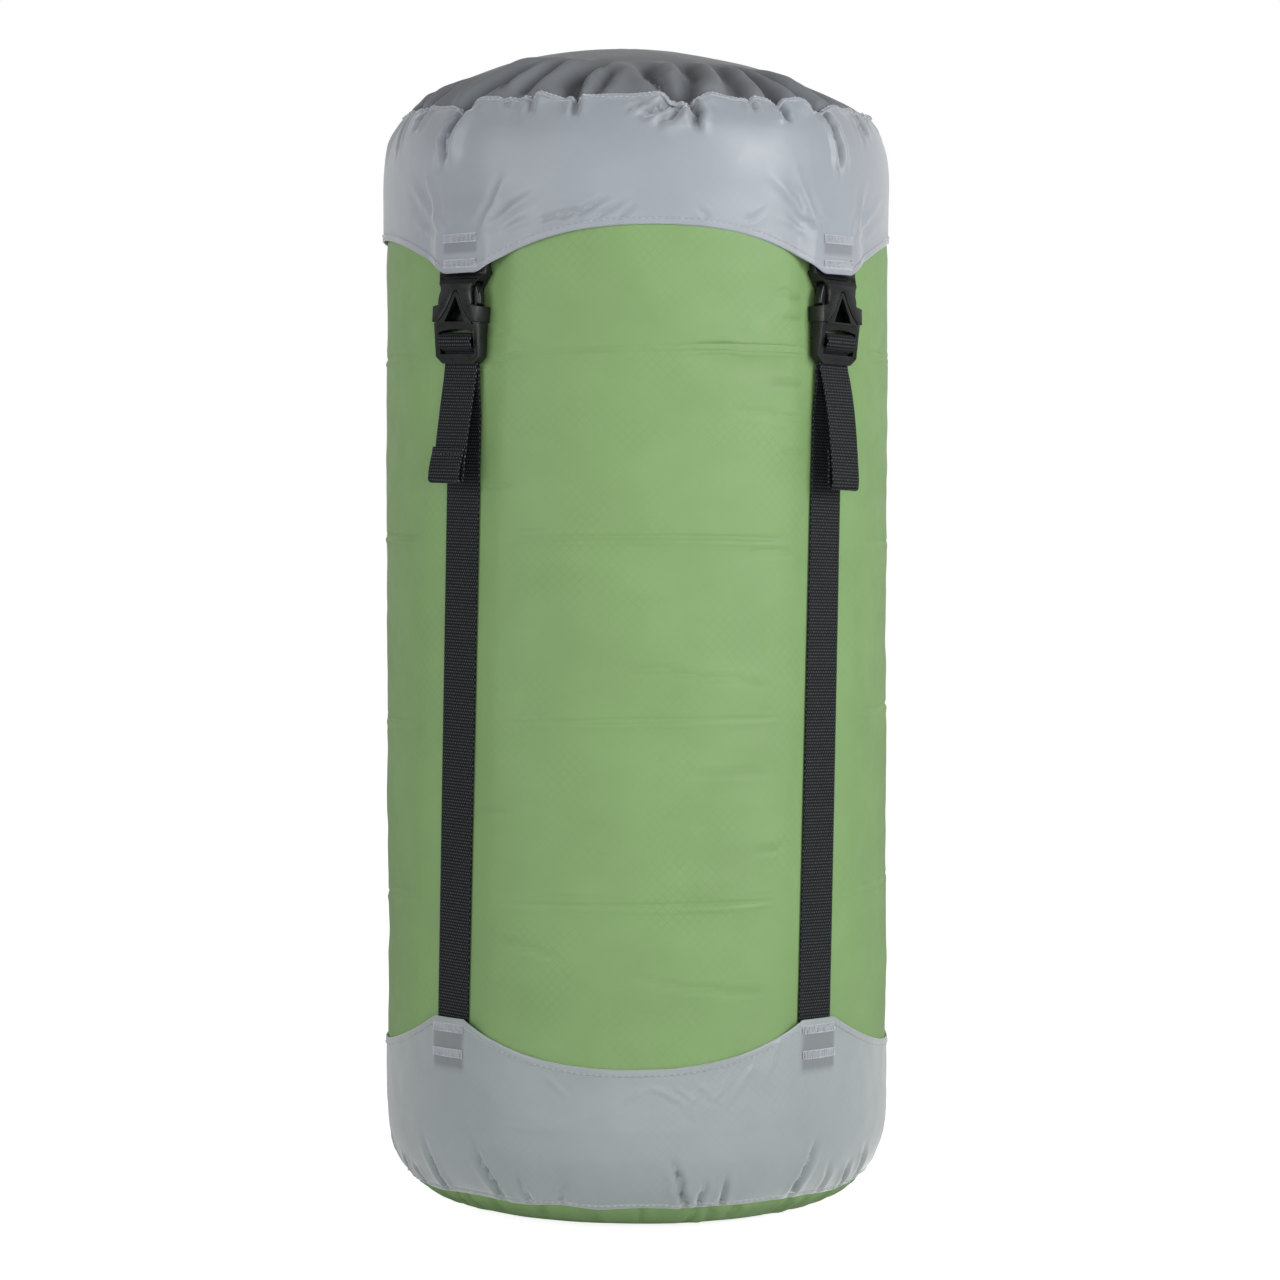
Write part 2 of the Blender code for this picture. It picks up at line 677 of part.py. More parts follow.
def female_mesh():
    """The shell: collar, open-sided waist, and a flared neck with the slot for the lid's webbing."""
    body = plate("buckle_female", both_sides(SHELL), 0.0, SHELL_THICK)
    cavity = plate(
        "cavity",
        both_sides([(CAVITY_HALF, SHELL_LOW - 0.001), (CAVITY_HALF, CAVITY_TOP)]),
        CAVITY_BACK,
        CAVITY_FRONT,
    )
    arch = [(u + GUIDE_GROOVE, v + GUIDE_GROOVE) for u, v in GUIDE]
    front = plate("front", both_sides([(arch[0][0], SHELL_LOW - 0.001)] + arch), CAVITY_FRONT - 0.001, 0.010)
    slot = plate("slot", both_sides([(0.0105, SLOT_LOW), (0.0105, SLOT_HIGH)]), -0.001, 0.010)
    half = 0.020
    relief_front = ribbon_block([(0.0345, 0.0100), (0.0345, SHELL_THICK), (0.0390, NECK_FRONT), (0.050, NECK_FRONT),
                                 (0.050, 0.0100)], half)
    relief_back = ribbon_block([(0.0400, -0.001), (0.0405, NECK_BACK), (0.050, NECK_BACK), (0.050, -0.001)], half)
    return carve("buckle_female", body, cuts=[cavity, front, slot, relief_front, relief_back])


def ribbon_block(outline, half_width):
    """An outline of (v, w) points, extruded across the buckle."""
    return loft("block", [[buckle_point(u, v, w) for v, w in outline] for u in (-half_width, half_width)])


def prong_mesh(side):
    """One springy arm with its catch; side is 1 or -1, and the origin is the arm's hinge line."""
    outline = [(side * (u - PRONG_HINGE[0]), v - PRONG_HINGE[1]) for u, v in PRONG]
    return plate("prong", outline, PRONG_BACK, PRONG_FRONT)


def tab_mesh():
    """Webbing sewn inside the lid's skirt, looped through the slot of the shell."""
    bar_v, bar_w = 0.0455, (NECK_FRONT + NECK_BACK) / 2
    half = WEBBING / 2
    back, front = NECK_BACK - GAP - half, NECK_FRONT + GAP + half
    low_v = SLOT_HIGH - 0.0008 - half
    path = [
        (0.0620, 0.00105),
        (0.0540, 0.0004),
        (bar_v + 0.0030, back + 0.0001),
        (low_v + 0.0012, back),
        (low_v + 0.0003, back + 0.0006),
        (low_v, bar_w),
        (low_v + 0.0003, front - 0.0006),
        (low_v + 0.0012, front),
        (bar_v + 0.0030, front - 0.0004),
        (0.0540, 0.0032),
        (0.0620, 0.0029),
    ]
    return ribbon("lid_tab", path, WEBBING_WIDTH / 2 - 0.0002, WEBBING)


def straps_and_buckles(webbing, plastic):
    tail, male, female, tab = tail_mesh(), male_mesh(), female_mesh(), tab_mesh()
    prongs = {"left": prong_mesh(-1), "right": prong_mesh(1)}
    for index in range(STRAPS):
        frame = buckle_frame(index)
        number = index + 1
        holder = empty(f"buckle_frame_{number}", frame)
        strap_run(index, frame, webbing)
        place(f"strap_tail_{number}", tail, webbing, holder)
        place(f"buckle_male_{number}", male, plastic, holder)
        place(f"buckle_female_{number}", female, plastic, holder)
        place(f"lid_tab_{number}", tab, webbing, holder)
        for name, side in (("left", -1), ("right", 1)):
            hinge = buckle_point(side * PRONG_HINGE[0], PRONG_HINGE[1], 0.0)
            place(f"prong_{name}_{number}", prongs[name], plastic, holder, hinge)


def main():
    clear_scene()
    green = material("green_ripstop", GREEN, 0.62)
    grey = material("grey_fabric", GREY, 0.50)
    dark_grey = material("lid_fabric", DARK_GREY, 0.45)
    webbing = material("black_webbing", WEBBING_BLACK, 0.75)
    plastic = material("black_plastic", PLASTIC_BLACK, 0.40)
    cord = material("black_cord", WEBBING_BLACK, 0.70)
    steel = material("spring_steel", STEEL, 0.30, 1.0)
    bottom_panel(green)
    bottom_band(grey)
    bag_wall(green)
    haul_handle(webbing)
    mouth_collar(green)
    drawcord_hem(green)
    drawcord(cord)
    cord_lock(plastic, steel)
    lid_skirt(grey)
    lid_top(dark_grey)
    straps_and_buckles(webbing, plastic)


main()
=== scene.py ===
"""Looks of the compression stuff sack: coated fabric, webbing, moulded buckles, camera and light.

Metres, +Z up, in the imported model's own frame. The front of the sack faces -Y, and azimuths are
degrees from the front towards +X. Strap 1 is at the front right, then 2, 3 and 4 follow round.
"""

import math

import bmesh
import bpy
import numpy as np
from mathutils import Matrix, Vector, noise


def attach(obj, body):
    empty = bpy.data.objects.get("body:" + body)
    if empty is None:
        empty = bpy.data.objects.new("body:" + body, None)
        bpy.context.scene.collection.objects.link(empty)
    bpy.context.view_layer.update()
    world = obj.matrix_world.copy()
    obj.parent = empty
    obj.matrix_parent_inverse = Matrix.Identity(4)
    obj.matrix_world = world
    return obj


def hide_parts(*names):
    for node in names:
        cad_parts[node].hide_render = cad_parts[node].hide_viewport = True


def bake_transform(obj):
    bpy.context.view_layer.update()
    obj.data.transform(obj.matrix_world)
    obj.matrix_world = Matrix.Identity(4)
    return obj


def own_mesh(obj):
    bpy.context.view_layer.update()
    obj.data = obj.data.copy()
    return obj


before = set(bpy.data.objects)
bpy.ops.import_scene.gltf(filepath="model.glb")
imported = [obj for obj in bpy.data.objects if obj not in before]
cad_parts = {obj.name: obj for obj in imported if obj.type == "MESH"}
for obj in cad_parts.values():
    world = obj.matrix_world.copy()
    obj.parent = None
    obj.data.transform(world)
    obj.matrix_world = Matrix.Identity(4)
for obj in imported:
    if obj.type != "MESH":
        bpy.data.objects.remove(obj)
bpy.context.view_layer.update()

MM = 0.001

# Driving dimensions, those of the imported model
SACK_RADIUS = 0.115
STRAPS = (0, 1, 2, 3)
TWIST_BASE_DEG, TWIST_LID_DEG = -1.2, 4.0
TWIST_FROM_Z, TWIST_TO_Z = 0.080, 0.420

BASE_PROFILE = [(0.1046, 0.0150), (0.1026, 0.0112), (0.098, 0.0074), (0.092, 0.0040), (0.084, 0.0016),
                (0.072, 0.0002)]
BAND_PROFILE = [(0.1037, 0.0122), (0.1072, 0.0160), (0.1109, 0.0225), (0.1136, 0.0310), (SACK_RADIUS, 0.047)]
BAND_HEM_LOW_Z, BAND_HEM_HIGH_Z = 0.0739, 0.0918
SCALLOP_POWER, SCALLOP_FLAT_DEG = 2.4, 4.8

WALL_RADIUS, WALL_FOOT_Z, WALL_TOP_Z = 0.1142, 0.0560, 0.4560
STRAP_BED = [(0.060, 0.1113), (0.350, 0.1112), (0.378, 0.1116), (0.425, 0.1100), (0.460, 0.1100)]
STRAP_BED_HALF = [(0.350, 0.0104), (0.372, 0.0148), (0.460, 0.0148)]

SKIRT_HEM_HIGH_Z, SKIRT_HEM_LOW_Z = 0.4366, 0.4176
LID_PROFILE = [(0.1149, 0.440), (0.1151, 0.452), (0.1153, 0.460), (0.1151, 0.4675), (0.1142, 0.4750),
               (0.1123, 0.4816), (0.1093, 0.4872), (0.1054, 0.4920)]
DOME_BASE_Z, DOME_RISE, DOME_RADIUS = 0.4915, 0.0322, 0.1058
DOME_POWER, DOME_POWER_TILT = 0.90, 0.15
LID_COLUMNS, LID_STEP, LID_HEM_ROWS = 304, 0.0024, 6

COLLAR_PROFILE = [(0.1136, 0.4562), (0.1129, 0.4605), (0.1112, 0.4665), (0.1078, 0.4728), (0.1018, 0.4786),
                  (0.0940, 0.4828), (0.0800, 0.4868), (0.0600, 0.4896), (0.0420, 0.4914), (0.0310, 0.4930),
                  (0.0262, 0.4948), (0.0245, 0.4960)]
MOUTH_PLEATS, HEM_PUCKERS = 38, 46
MOUTH_RADIUS, HEM_Z, HEM_TUBE, HEM_BORE, HEM_OPENING_DEG = 0.021, 0.4979, 0.0033, 0.0021, 24.0
CORD_RADIUS, CORD_SPACING, LOCK_Y, LOCK_Z = 0.0012, 0.0028, -0.038, 0.5039

FABRIC = 0.0003
COARSE_LINING = 4  # every so many points, for the lining of a panel with fewer wrinkles
HEM_WIDTH = 0.0029
STITCH, STITCH_GAP, THREAD_RADIUS = 0.0021, 0.0007, 0.00024
RIPSTOP_PITCH, WEAVE_PITCH = 0.00335, 0.00042
DIAGONAL = 0.70711  # turns the weave by 45 degrees

WEBBING_WIDTH, NARROW_WEBBING, WEBBING, THIN_WEBBING = 0.020, 0.0196, 0.0013, 0.0011
RIB_PITCH, RIB_DEPTH, WARP_PITCH = 0.00135, 0.00011, 0.00115
WEB_STEP = RIB_PITCH / 4
STRAP_FOOT_Z, STRAP_RADIUS = 0.0696, 0.11205
BUCKLE_Z, BUCKLE_RADIUS, BUCKLE_PITCH_DEG = 0.378, 0.1124, 2.0
RUN_W, RUN_TOP_V, TAIL_W = 0.0009, -0.0026, 0.00255
BAR_V, ROLL_W, ROLL_RADIUS = 0.0096, 0.0044, 0.00325
HANDLE_RIGHT_DEG, HANDLE_LEFT_DEG, HANDLE_END_RADIUS, HANDLE_PROUD = 95.0, -104.0, 0.1022, 0.0012

ROOM_LIGHT, BACKDROP_LIGHT = 0.20, 0.60
GREEN = (0.198, 0.325, 0.128)
GREY = (0.282, 0.308, 0.346)
BAND_GREY = (0.284, 0.320, 0.330)
# The lid's top is the skirt's grey fabric; this darker colour is painted shade for its upward-facing panel
TOP_GREY_PAINTED_SHADE = (0.188, 0.199, 0.217)


# --- Shader nodes ----------------------------------------------------------------------------


class Nodes:
    """Short names for making the nodes of one shader tree."""

    def __init__(self, tree):
        self.tree = tree

    def feed(self, socket, value):
        if isinstance(value, bpy.types.NodeSocket):
            self.tree.links.new(value, socket)
        else:
            socket.default_value = value

    def node(self, kind, **inputs):
        made = self.tree.nodes.new(f"ShaderNode{kind}")
        for key, value in inputs.items():
            self.feed(made.inputs[key.replace("_", " ")], value)
        return made

    def math(self, operation, *values):
        made = self.node("Math")
        made.operation = operation
        for socket, value in zip(made.inputs, values):
            self.feed(socket, value)
        return made.outputs[0]

    def times(self, a, b):
        return self.math("MULTIPLY", a, b)

    def plus(self, a, b):
        return self.math("ADD", a, b)

    def minus(self, a, b):
        return self.math("SUBTRACT", a, b)

    def wave(self, value, pitch, kind="SINE"):
        return self.math(kind, self.times(value, 2 * math.pi / pitch))

    def ramp(self, value, low, high, start=0.0, end=1.0, smooth=False):
        made = self.node("MapRange", Value=value, From_Min=low, From_Max=high, To_Min=start, To_Max=end)
        if smooth:
            made.interpolation_type = "SMOOTHSTEP"
        return made.outputs["Result"]


class Finish(Nodes):
    """A Principled material with helpers for the nodes behind it."""

    def __init__(self, name, colour, roughness, **sockets):
        self.material = bpy.data.materials.new(name)
        self.material.use_nodes = True
        super().__init__(self.material.node_tree)
        self.set(Base_Color=(*colour, 1.0), Roughness=roughness, **sockets)

    def set(self, **sockets):
        shader = self.tree.nodes["Principled BSDF"]
        for key, value in sockets.items():
            self.feed(shader.inputs[key.replace("_", " ")], value)

    def surface(self):
        """The flat place on the piece, in metres: as a vector, across, and along."""
        place = self.node("UVMap").outputs["UV"]
        split = self.node("SeparateXYZ", Vector=place)
        return place, split.outputs["X"], split.outputs["Y"]

    def object_place(self):
        return self.node("TexCoord").outputs["Object"]

    def marked(self, name):
        made = self.node("Attribute")
        made.attribute_name = name
        return made.outputs["Fac"]

    def noise(self, where, scale, detail=3.0, roughness=0.55):
        made = self.node("TexNoise", Vector=where, Scale=scale, Detail=detail, Roughness=roughness)
        return made.outputs["Fac"]

    def mix(self, share, first, second):
        made = self.node("Mix")
        made.data_type = "RGBA"
        for number, value in ((0, share), (6, first), (7, second)):
            self.feed(made.inputs[number], value)
        return made.outputs[2]

    def bump(self, height):
        """Relief from a height in metres."""
        self.set(Normal=self.node("Bump", Height=height, Strength=1.0, Distance=1.0).outputs["Normal"])

    def grid_line(self, value, pitch, share):
        """1 on lines this far apart, as wide as share of the pitch."""
        phase = self.math("FRACT", self.math("DIVIDE", value, pitch))
        away = self.math("ABSOLUTE", self.minus(phase, 0.5))
        return self.ramp(away, 0.5 - share / 2, 0.5 - share / 5)


# --- Camera, light and floor -----------------------------------------------------------------


def linked(obj):
    bpy.context.scene.collection.objects.link(obj)
    return obj


def add_camera():
    data = bpy.data.cameras.new("camera")
    data.sensor_width, data.lens = 36.0, 102.9
    camera = linked(bpy.data.objects.new("camera", data))
    camera.location = (0.0014, -1.68, 0.3117)
    camera.rotation_euler = (math.radians(88.07), 0.0, 0.0)
    bpy.context.scene.camera = camera


def area_light(name, location, target, size, power):
    data = bpy.data.lights.new(name, "AREA")
    data.shape = "RECTANGLE"
    data.size, data.size_y = size
    data.energy = power
    light = linked(bpy.data.objects.new(name, data))
    light.location = location
    light.rotation_euler = (Vector(target) - Vector(location)).to_track_quat("-Z", "Y").to_euler()


def add_world():
    """A white backdrop, which also lights the object from low down behind, in a dimmer room."""
    world = bpy.data.worlds.new("studio")
    bpy.context.scene.world = world
    world.use_nodes = True
    n = Nodes(world.node_tree)
    split = n.node("SeparateXYZ", Vector=n.node("TexCoord").outputs["Generated"])
    behind = n.ramp(split.outputs["Y"], -0.25, 0.45, smooth=True)
    low_down = n.ramp(n.math("ABSOLUTE", split.outputs["Z"]), 0.15, 0.50, BACKDROP_LIGHT, 0.0, smooth=True)
    soft = n.plus(n.times(behind, low_down), ROOM_LIGHT)
    seen = n.node("LightPath").outputs["Is Camera Ray"]
    background = world.node_tree.nodes["Background"].inputs
    n.feed(background["Strength"], n.math("MAXIMUM", seen, soft))
    n.feed(background["Color"], (1.0, 1.0, 1.0, 1.0))


def add_floor():
    half = 12.0
    corners = [(-half, -half, 0), (half, -half, 0), (half, half, 0), (-half, half, 0)]
    mesh = mesh_of("floor", corners, [(0, 1, 2, 3)])
    f = Finish("floor", (0.75, 0.75, 0.75), 0.9, Specular_IOR_Level=0.0, Emission_Color=(1.0, 1.0, 1.0, 1.0))
    f.set(Emission_Strength=f.ramp(f.node("LightPath").outputs["Is Camera Ray"], 0.0, 1.0, 0.05, 0.85))
    mesh.materials.append(f.material)
    linked(bpy.data.objects.new("floor", mesh))


# --- Shape helpers ---------------------------------------------------------------------------


def smooth_step(low, high, value):
    t = np.clip((value - low) / (high - low), 0.0, 1.0)
    return t * t * (3 - 2 * t)


def table(rows, value):
    """Straight-line reading of (key, value) rows."""
    return np.interp(value, [r[0] for r in rows], [r[1] for r in rows])


def polar(azimuth_deg, radius, z):
    turn = np.radians(azimuth_deg)
    places = np.broadcast_arrays(radius * np.sin(turn), -radius * np.cos(turn), z)
    return np.stack(places, axis=-1).astype(float)


def radius_of(points):
    return np.hypot(points[..., 0], points[..., 1])


def twist_deg(z):
    share = np.clip((z - TWIST_FROM_Z) / (TWIST_TO_Z - TWIST_FROM_Z), 0.0, 1.0)
    return TWIST_BASE_DEG + (TWIST_LID_DEG - TWIST_BASE_DEG) * share


def strap_azimuth(index, z):
    return 45.0 + 90.0 * index + twist_deg(z)


def column_degrees(columns):
    """Each column's azimuth before the twist."""
    return (np.arange(columns) + 0.5) * 360.0 / columns - 180.0


def from_strap(degrees):
    """Degrees from the nearest strap, before the twist."""
    return degrees % 90.0 - 45.0


def scallop(offset_deg):
    """1 at a strap, falling to 0 halfway between two straps."""
    away = np.maximum(np.abs(offset_deg) - SCALLOP_FLAT_DEG, 0.0)
    return (1 - away / (45.0 - SCALLOP_FLAT_DEG)) ** SCALLOP_POWER


def circle(sides):
    return np.arange(sides) * 2 * math.pi / sides


def unit(vectors):
    return vectors / np.maximum(np.linalg.norm(vectors, axis=-1, keepdims=True), 1e-12)


def distances(path):
    """How far along a path each of its points lies."""
    return np.concatenate([[0.0], np.cumsum(np.linalg.norm(np.diff(path, axis=0), axis=1))])


def read_at(path, reach, at):
    return np.stack([np.interp(at, reach, path[:, a]) for a in range(path.shape[1])], axis=1)


def along_curve(profile, count):
    """A smooth curve through profile points, as count evenly spaced points and their distances."""
    points = np.array(profile, float)
    knots = distances(points)
    slopes = np.gradient(points, knots, axis=0)
    fine = np.linspace(0.0, knots[-1], 400)
    k = np.clip(np.searchsorted(knots, fine) - 1, 0, len(knots) - 2)
    span = (knots[k + 1] - knots[k])[:, None]
    t = ((fine - knots[k])[:, None]) / span
    curve = (
        (2 * t**3 - 3 * t**2 + 1) * points[k]
        + (t**3 - 2 * t**2 + t) * span * slopes[k]
        + (3 * t**2 - 2 * t**3) * points[k + 1]
        + (t**3 - t**2) * span * slopes[k + 1]
    )
    reach = distances(curve)
    even = np.linspace(0.0, reach[-1], count)
    return read_at(curve, reach, even), even


def evenly(path, step):
    """The path's points again, evenly spaced, with each one's distance along it."""
    reach = distances(path)
    even = np.linspace(0.0, reach[-1], max(int(reach[-1] / step), 2) + 1)
    return read_at(path, reach, even), even


def smooth_path(points, step):
    """A smooth curve through points of any number of coordinates, evenly spaced."""
    return evenly(along_curve(points, 40 * len(points))[0], step)


def noise_at(points, size, seed, squash=(1.0, 1.0, 1.0)):
    """Smooth noise from -1 to 1 with features of about this size in metres."""
    offset = Vector((seed * 17.3, seed * 5.7, seed * 11.1))
    scaled = points.reshape(-1, 3) / (np.array(squash) * size)
    return np.array([noise.noise(Vector(p) + offset) for p in scaled]).reshape(points.shape[:-1])


def add_object(name, mesh, finish):
    obj = linked(bpy.data.objects.new(name, mesh))
    mesh.materials.append(finish)
    return obj


def ride(body, pieces):
    for piece in pieces:
        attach(piece, body)


def smoothed(mesh):
    mesh.polygons.foreach_set("use_smooth", [True] * len(mesh.polygons))
    return mesh


def mesh_of(name, vertices, faces, uvs=None):
    mesh = bpy.data.meshes.new(name)
    mesh.from_pydata(np.asarray(vertices, float).reshape(-1, 3).tolist(), [], faces)
    if uvs is not None:
        layer = mesh.uv_layers.new(name="UVMap")
        layer.data.foreach_set("uv", np.asarray(uvs, np.float32).ravel())
    smoothed(mesh)
    mesh.update()
    return mesh


def mark(mesh, name, share):
    """A share from 0 to 1 at each point of the fabric's outside, for its material to read."""
    layer = mesh.attributes.new(name, "FLOAT", "POINT")
    values = np.zeros(len(mesh.vertices))
    values[: share.size] = share.ravel()
    layer.data.foreach_set("value", values.astype(np.float32))


def quads(rows, columns, closed=False, flip=False):
    """The (row, column) corners of a grid's quads; each row goes once round."""
    order = (0, 3, 2, 1) if flip else (0, 1, 2, 3)
    made = []
    for i in range(rows if closed else rows - 1):
        for j in range(columns):
            corners = ((i, j), (i, j + 1), (i + 1, j + 1), (i + 1, j))
            made.append([corners[k] for k in order])
    return made


def numbered(corners, rows, columns, first=0):
    """Faces of vertex numbers from faces of (row, column) corners."""
    return [[first + i % rows * columns + j % columns for i, j in face] for face in corners]


def tube_faces(rings, sides, first):
    """The faces of a tube of rings, with both its ends."""
    faces = numbered(quads(rings, sides), rings, sides, first)
    faces.append([first + s for s in range(sides)][::-1])
    faces.append([first + (rings - 1) * sides + s for s in range(sides)])
    return faces


def tube(path, outs, radius, sides):
    """Rings of points round a path, with one radius or one for each point."""
    ahead = unit(np.gradient(path, axis=0))
    side = unit(np.cross(ahead, outs))
    up = np.cross(side, ahead)
    girth = np.broadcast_to(radius, len(path))[:, None]
    return np.stack([path + girth * (side * math.cos(t) + up * math.sin(t)) for t in circle(sides)], axis=1)


def solid(name, rings, closed=False):
    """A closed body through rings of points; closed joins the last ring to the first."""
    points = np.asarray(rings, float)
    count, sides = points.shape[:2]
    reach = distances(points.mean(axis=1))
    girth = np.linalg.norm(np.diff(points[0], axis=0), axis=1).mean()
    corners = quads(count, sides, closed)
    faces = numbered(corners, count, sides)
    uvs = [(s * girth, reach[min(k, count - 1)]) for face in corners for k, s in face]
    if not closed:
        faces += [list(range(sides)), [(count - 1) * sides + s for s in range(sides)]]
        uvs += [(0.0, 0.0)] * (2 * sides)
    mesh = mesh_of(name, points, faces, uvs)
    made = bmesh.new()
    made.from_mesh(mesh)
    bmesh.ops.recalc_face_normals(made, faces=made.faces)
    made.to_mesh(mesh)
    made.free()
    return mesh


# --- Fabric ----------------------------------------------------------------------------------


class Cloth:
    """Fabric as rows of points, each row once round the sack, with the rows' distances along it."""

    def __init__(self, points, along):
        self.points = points
        self.along = np.asarray(along, float)
        self.lift = np.zeros(points.shape[:2])
        # Painted shade of the folds' grooves, from 0 to 1, for the material to darken the colour
        self.painted_shade = np.zeros(points.shape[:2])

    @classmethod
    def turned(cls, columns, radius, height, along):
        """From each row's radius and height, which may be one number or one per column."""
        rows = [polar(column_degrees(columns) + twist_deg(z), r, z) for r, z in zip(radius, height)]
        return cls(np.array(rows), along)

    def relative(self):
        return column_degrees(self.points.shape[1])

    def from_strap(self):
        return from_strap(self.relative())

    def across(self):
        """Each column's distance from its nearest strap's middle."""
        return np.abs(SACK_RADIUS * np.radians(self.from_strap()))

    def normals(self):
        across = np.roll(self.points, -1, axis=1) - np.roll(self.points, 1, axis=1)
        return unit(np.cross(across, np.gradient(self.points, axis=0)))

    def settle(self):
        """Moves the points out by what has been lifted so far."""
        self.points = self.points + self.normals() * self.lift[..., None]
        self.lift = np.zeros(self.points.shape[:2])

    def column_at(self, azimuth, z):
        """The column, with its fraction, at an azimuth and a height."""
        return (azimuth + 180.0 - float(twist_deg(z))) / 360.0 * self.points.shape[1] - 0.5

    def spot(self, azimuth, along):
        """The point nearest an azimuth and a distance along the fabric."""
        row = int(np.abs(self.along - along).argmin())
        column = int(round(self.column_at(azimuth, self.points[row, :, 2].mean())))
        return self.points[row, column % self.points.shape[1]]

    def fold(self, path, width, depth, ridge=0.45, fade=0.45, soft=1.0):
        """A groove along a path of (azimuth, along) points, deepest near its start, with ridges beside it.

        With soft over 1 the groove's left side slopes that many times more gently than its right side,
        and with soft under -1 its right side does.
        """
        steps = 8
        keys = np.linspace(0.0, len(path) - 1.0, steps + 1)
        line = [self.spot(*place) for place in read_at(np.array(path), range(len(path)), keys)]
        nearest = np.full(self.points.shape[:2], 1.0)
        share = np.zeros(self.points.shape[:2])
        for k, (start, end) in enumerate(zip(line, line[1:])):
            way = end - start
            if way @ way < 1e-10:
                continue
            t = np.clip((self.points - start) @ way / (way @ way), 0.0, 1.0)
            distance = np.linalg.norm(self.points - start - t[..., None] * way, axis=-1)
            closer = distance < nearest
            nearest[closer] = distance[closer]
            share[closer] = (k + t[closer]) / steps
        left = (self.points - line[0]) @ np.cross(line[-1] - line[0], line[0] * (1, 1, 0)) < 0
        if line[-1][2] > line[0][2]:
            left = ~left
        broad = np.where(left if soft > 0 else ~left, width * abs(soft), width)
        strength = smooth_step(-0.02, 0.12, share) * (1 - smooth_step(fade, 1.0, share))
        beside = ridge * np.exp(-(((nearest - 2.2 * broad) / (1.2 * broad)) ** 2))
        self.lift += depth * strength * (beside - np.exp(-((nearest / broad) ** 2)))
        # Painted shade: how much the colour is darkened at each point in the groove, standing in for the
        # shade that falls there
        inside = np.exp(-((nearest / (0.9 * broad)) ** 2))
        self.painted_shade = np.maximum(self.painted_shade, strength * inside * min(max(depth, 0.0) / 0.004, 1.0))

    def folds(self, rows, ahead=0.0, **options):
        """Folds from rows of a path in degrees and mm, a width and depth in mm, and perhaps a softness."""
        for path, width, depth, *soft in rows:
            path = [(azimuth + ahead, along * MM) for azimuth, along in path]
            self.fold(path, width * MM, depth * MM, soft=soft[0] if soft else 1.0, **options)

    def refined(self, factor):
        """The same fabric with factor times the rows and columns, through a smooth curve."""

        def cubic(points, at, wrap):
            base = np.floor(at).astype(int)
            t = (at - base).reshape((-1,) + (1,) * (points.ndim - 1))
            last = len(points)
            index = [(base + k) % last if wrap else np.clip(base + k, 0, last - 1) for k in (-1, 0, 1, 2)]
            p0, p1, p2, p3 = (points[i] for i in index)
            square, cube = 2 * p0 - 5 * p1 + 4 * p2 - p3, 3 * (p1 - p2) + p3 - p0
            return p1 + 0.5 * t * (p2 - p0 + t * (square + t * cube))

        rows, columns = self.points.shape[:2]
        row_at = np.linspace(0.0, rows - 1.0, (rows - 1) * factor + 1)
        column_at = (np.arange(columns * factor) + 0.5) / factor - 0.5
        tall = cubic(self.points, row_at, False)
        wide = cubic(tall.transpose(1, 0, 2), column_at, True).transpose(1, 0, 2)
        return Cloth(wide, np.interp(row_at, range(rows), self.along))

    def part(self, first, last):
        """The rows from first to last as fabric of their own."""
        part = Cloth(self.points[first : last + 1].copy(), self.along[first : last + 1])
        part.painted_shade = self.painted_shade[first : last + 1]
        return part

    def line(self, distance, top=False):
        """The points a distance in from the lower or upper edge, all round, and the normals there."""
        points, normals = self.points, self.normals()
        if top:
            points, normals = points[::-1], normals[::-1]
        steps = np.linalg.norm(np.diff(points, axis=0), axis=-1)
        reach = np.concatenate([np.zeros((1, steps.shape[1])), np.cumsum(steps, axis=0)])
        columns = np.arange(points.shape[1])
        row = np.clip((reach < distance).sum(axis=0), 1, len(points) - 1)
        low, high = reach[row - 1, columns], reach[row, columns]
        share = ((distance - low) / (high - low))[:, None]
        spot = points[row - 1, columns] * (1 - share) + points[row, columns] * share
        return spot, unit(normals[row - 1, columns] * (1 - share) + normals[row, columns] * share)

    def at_height(self, azimuth, z):
        """The points at these azimuths and heights, and the normals there; z rises along the rows."""
        columns = self.points.shape[1]
        normals = self.normals()
        spots, outs = [], []
        for angle, height in zip(azimuth, z):
            place = self.column_at(angle, height) % columns
            share = place - int(place)
            left, right = int(place) % columns, (int(place) + 1) % columns
            column, out = (a[:, left] * (1 - share) + a[:, right] * share for a in (self.points, normals))
            rising = np.maximum.accumulate(column[:, 2])
            spots.append(read_at(column, rising, [height])[0])
            outs.append(read_at(out, rising, [height])[0])
        return np.array(spots), unit(np.array(outs))

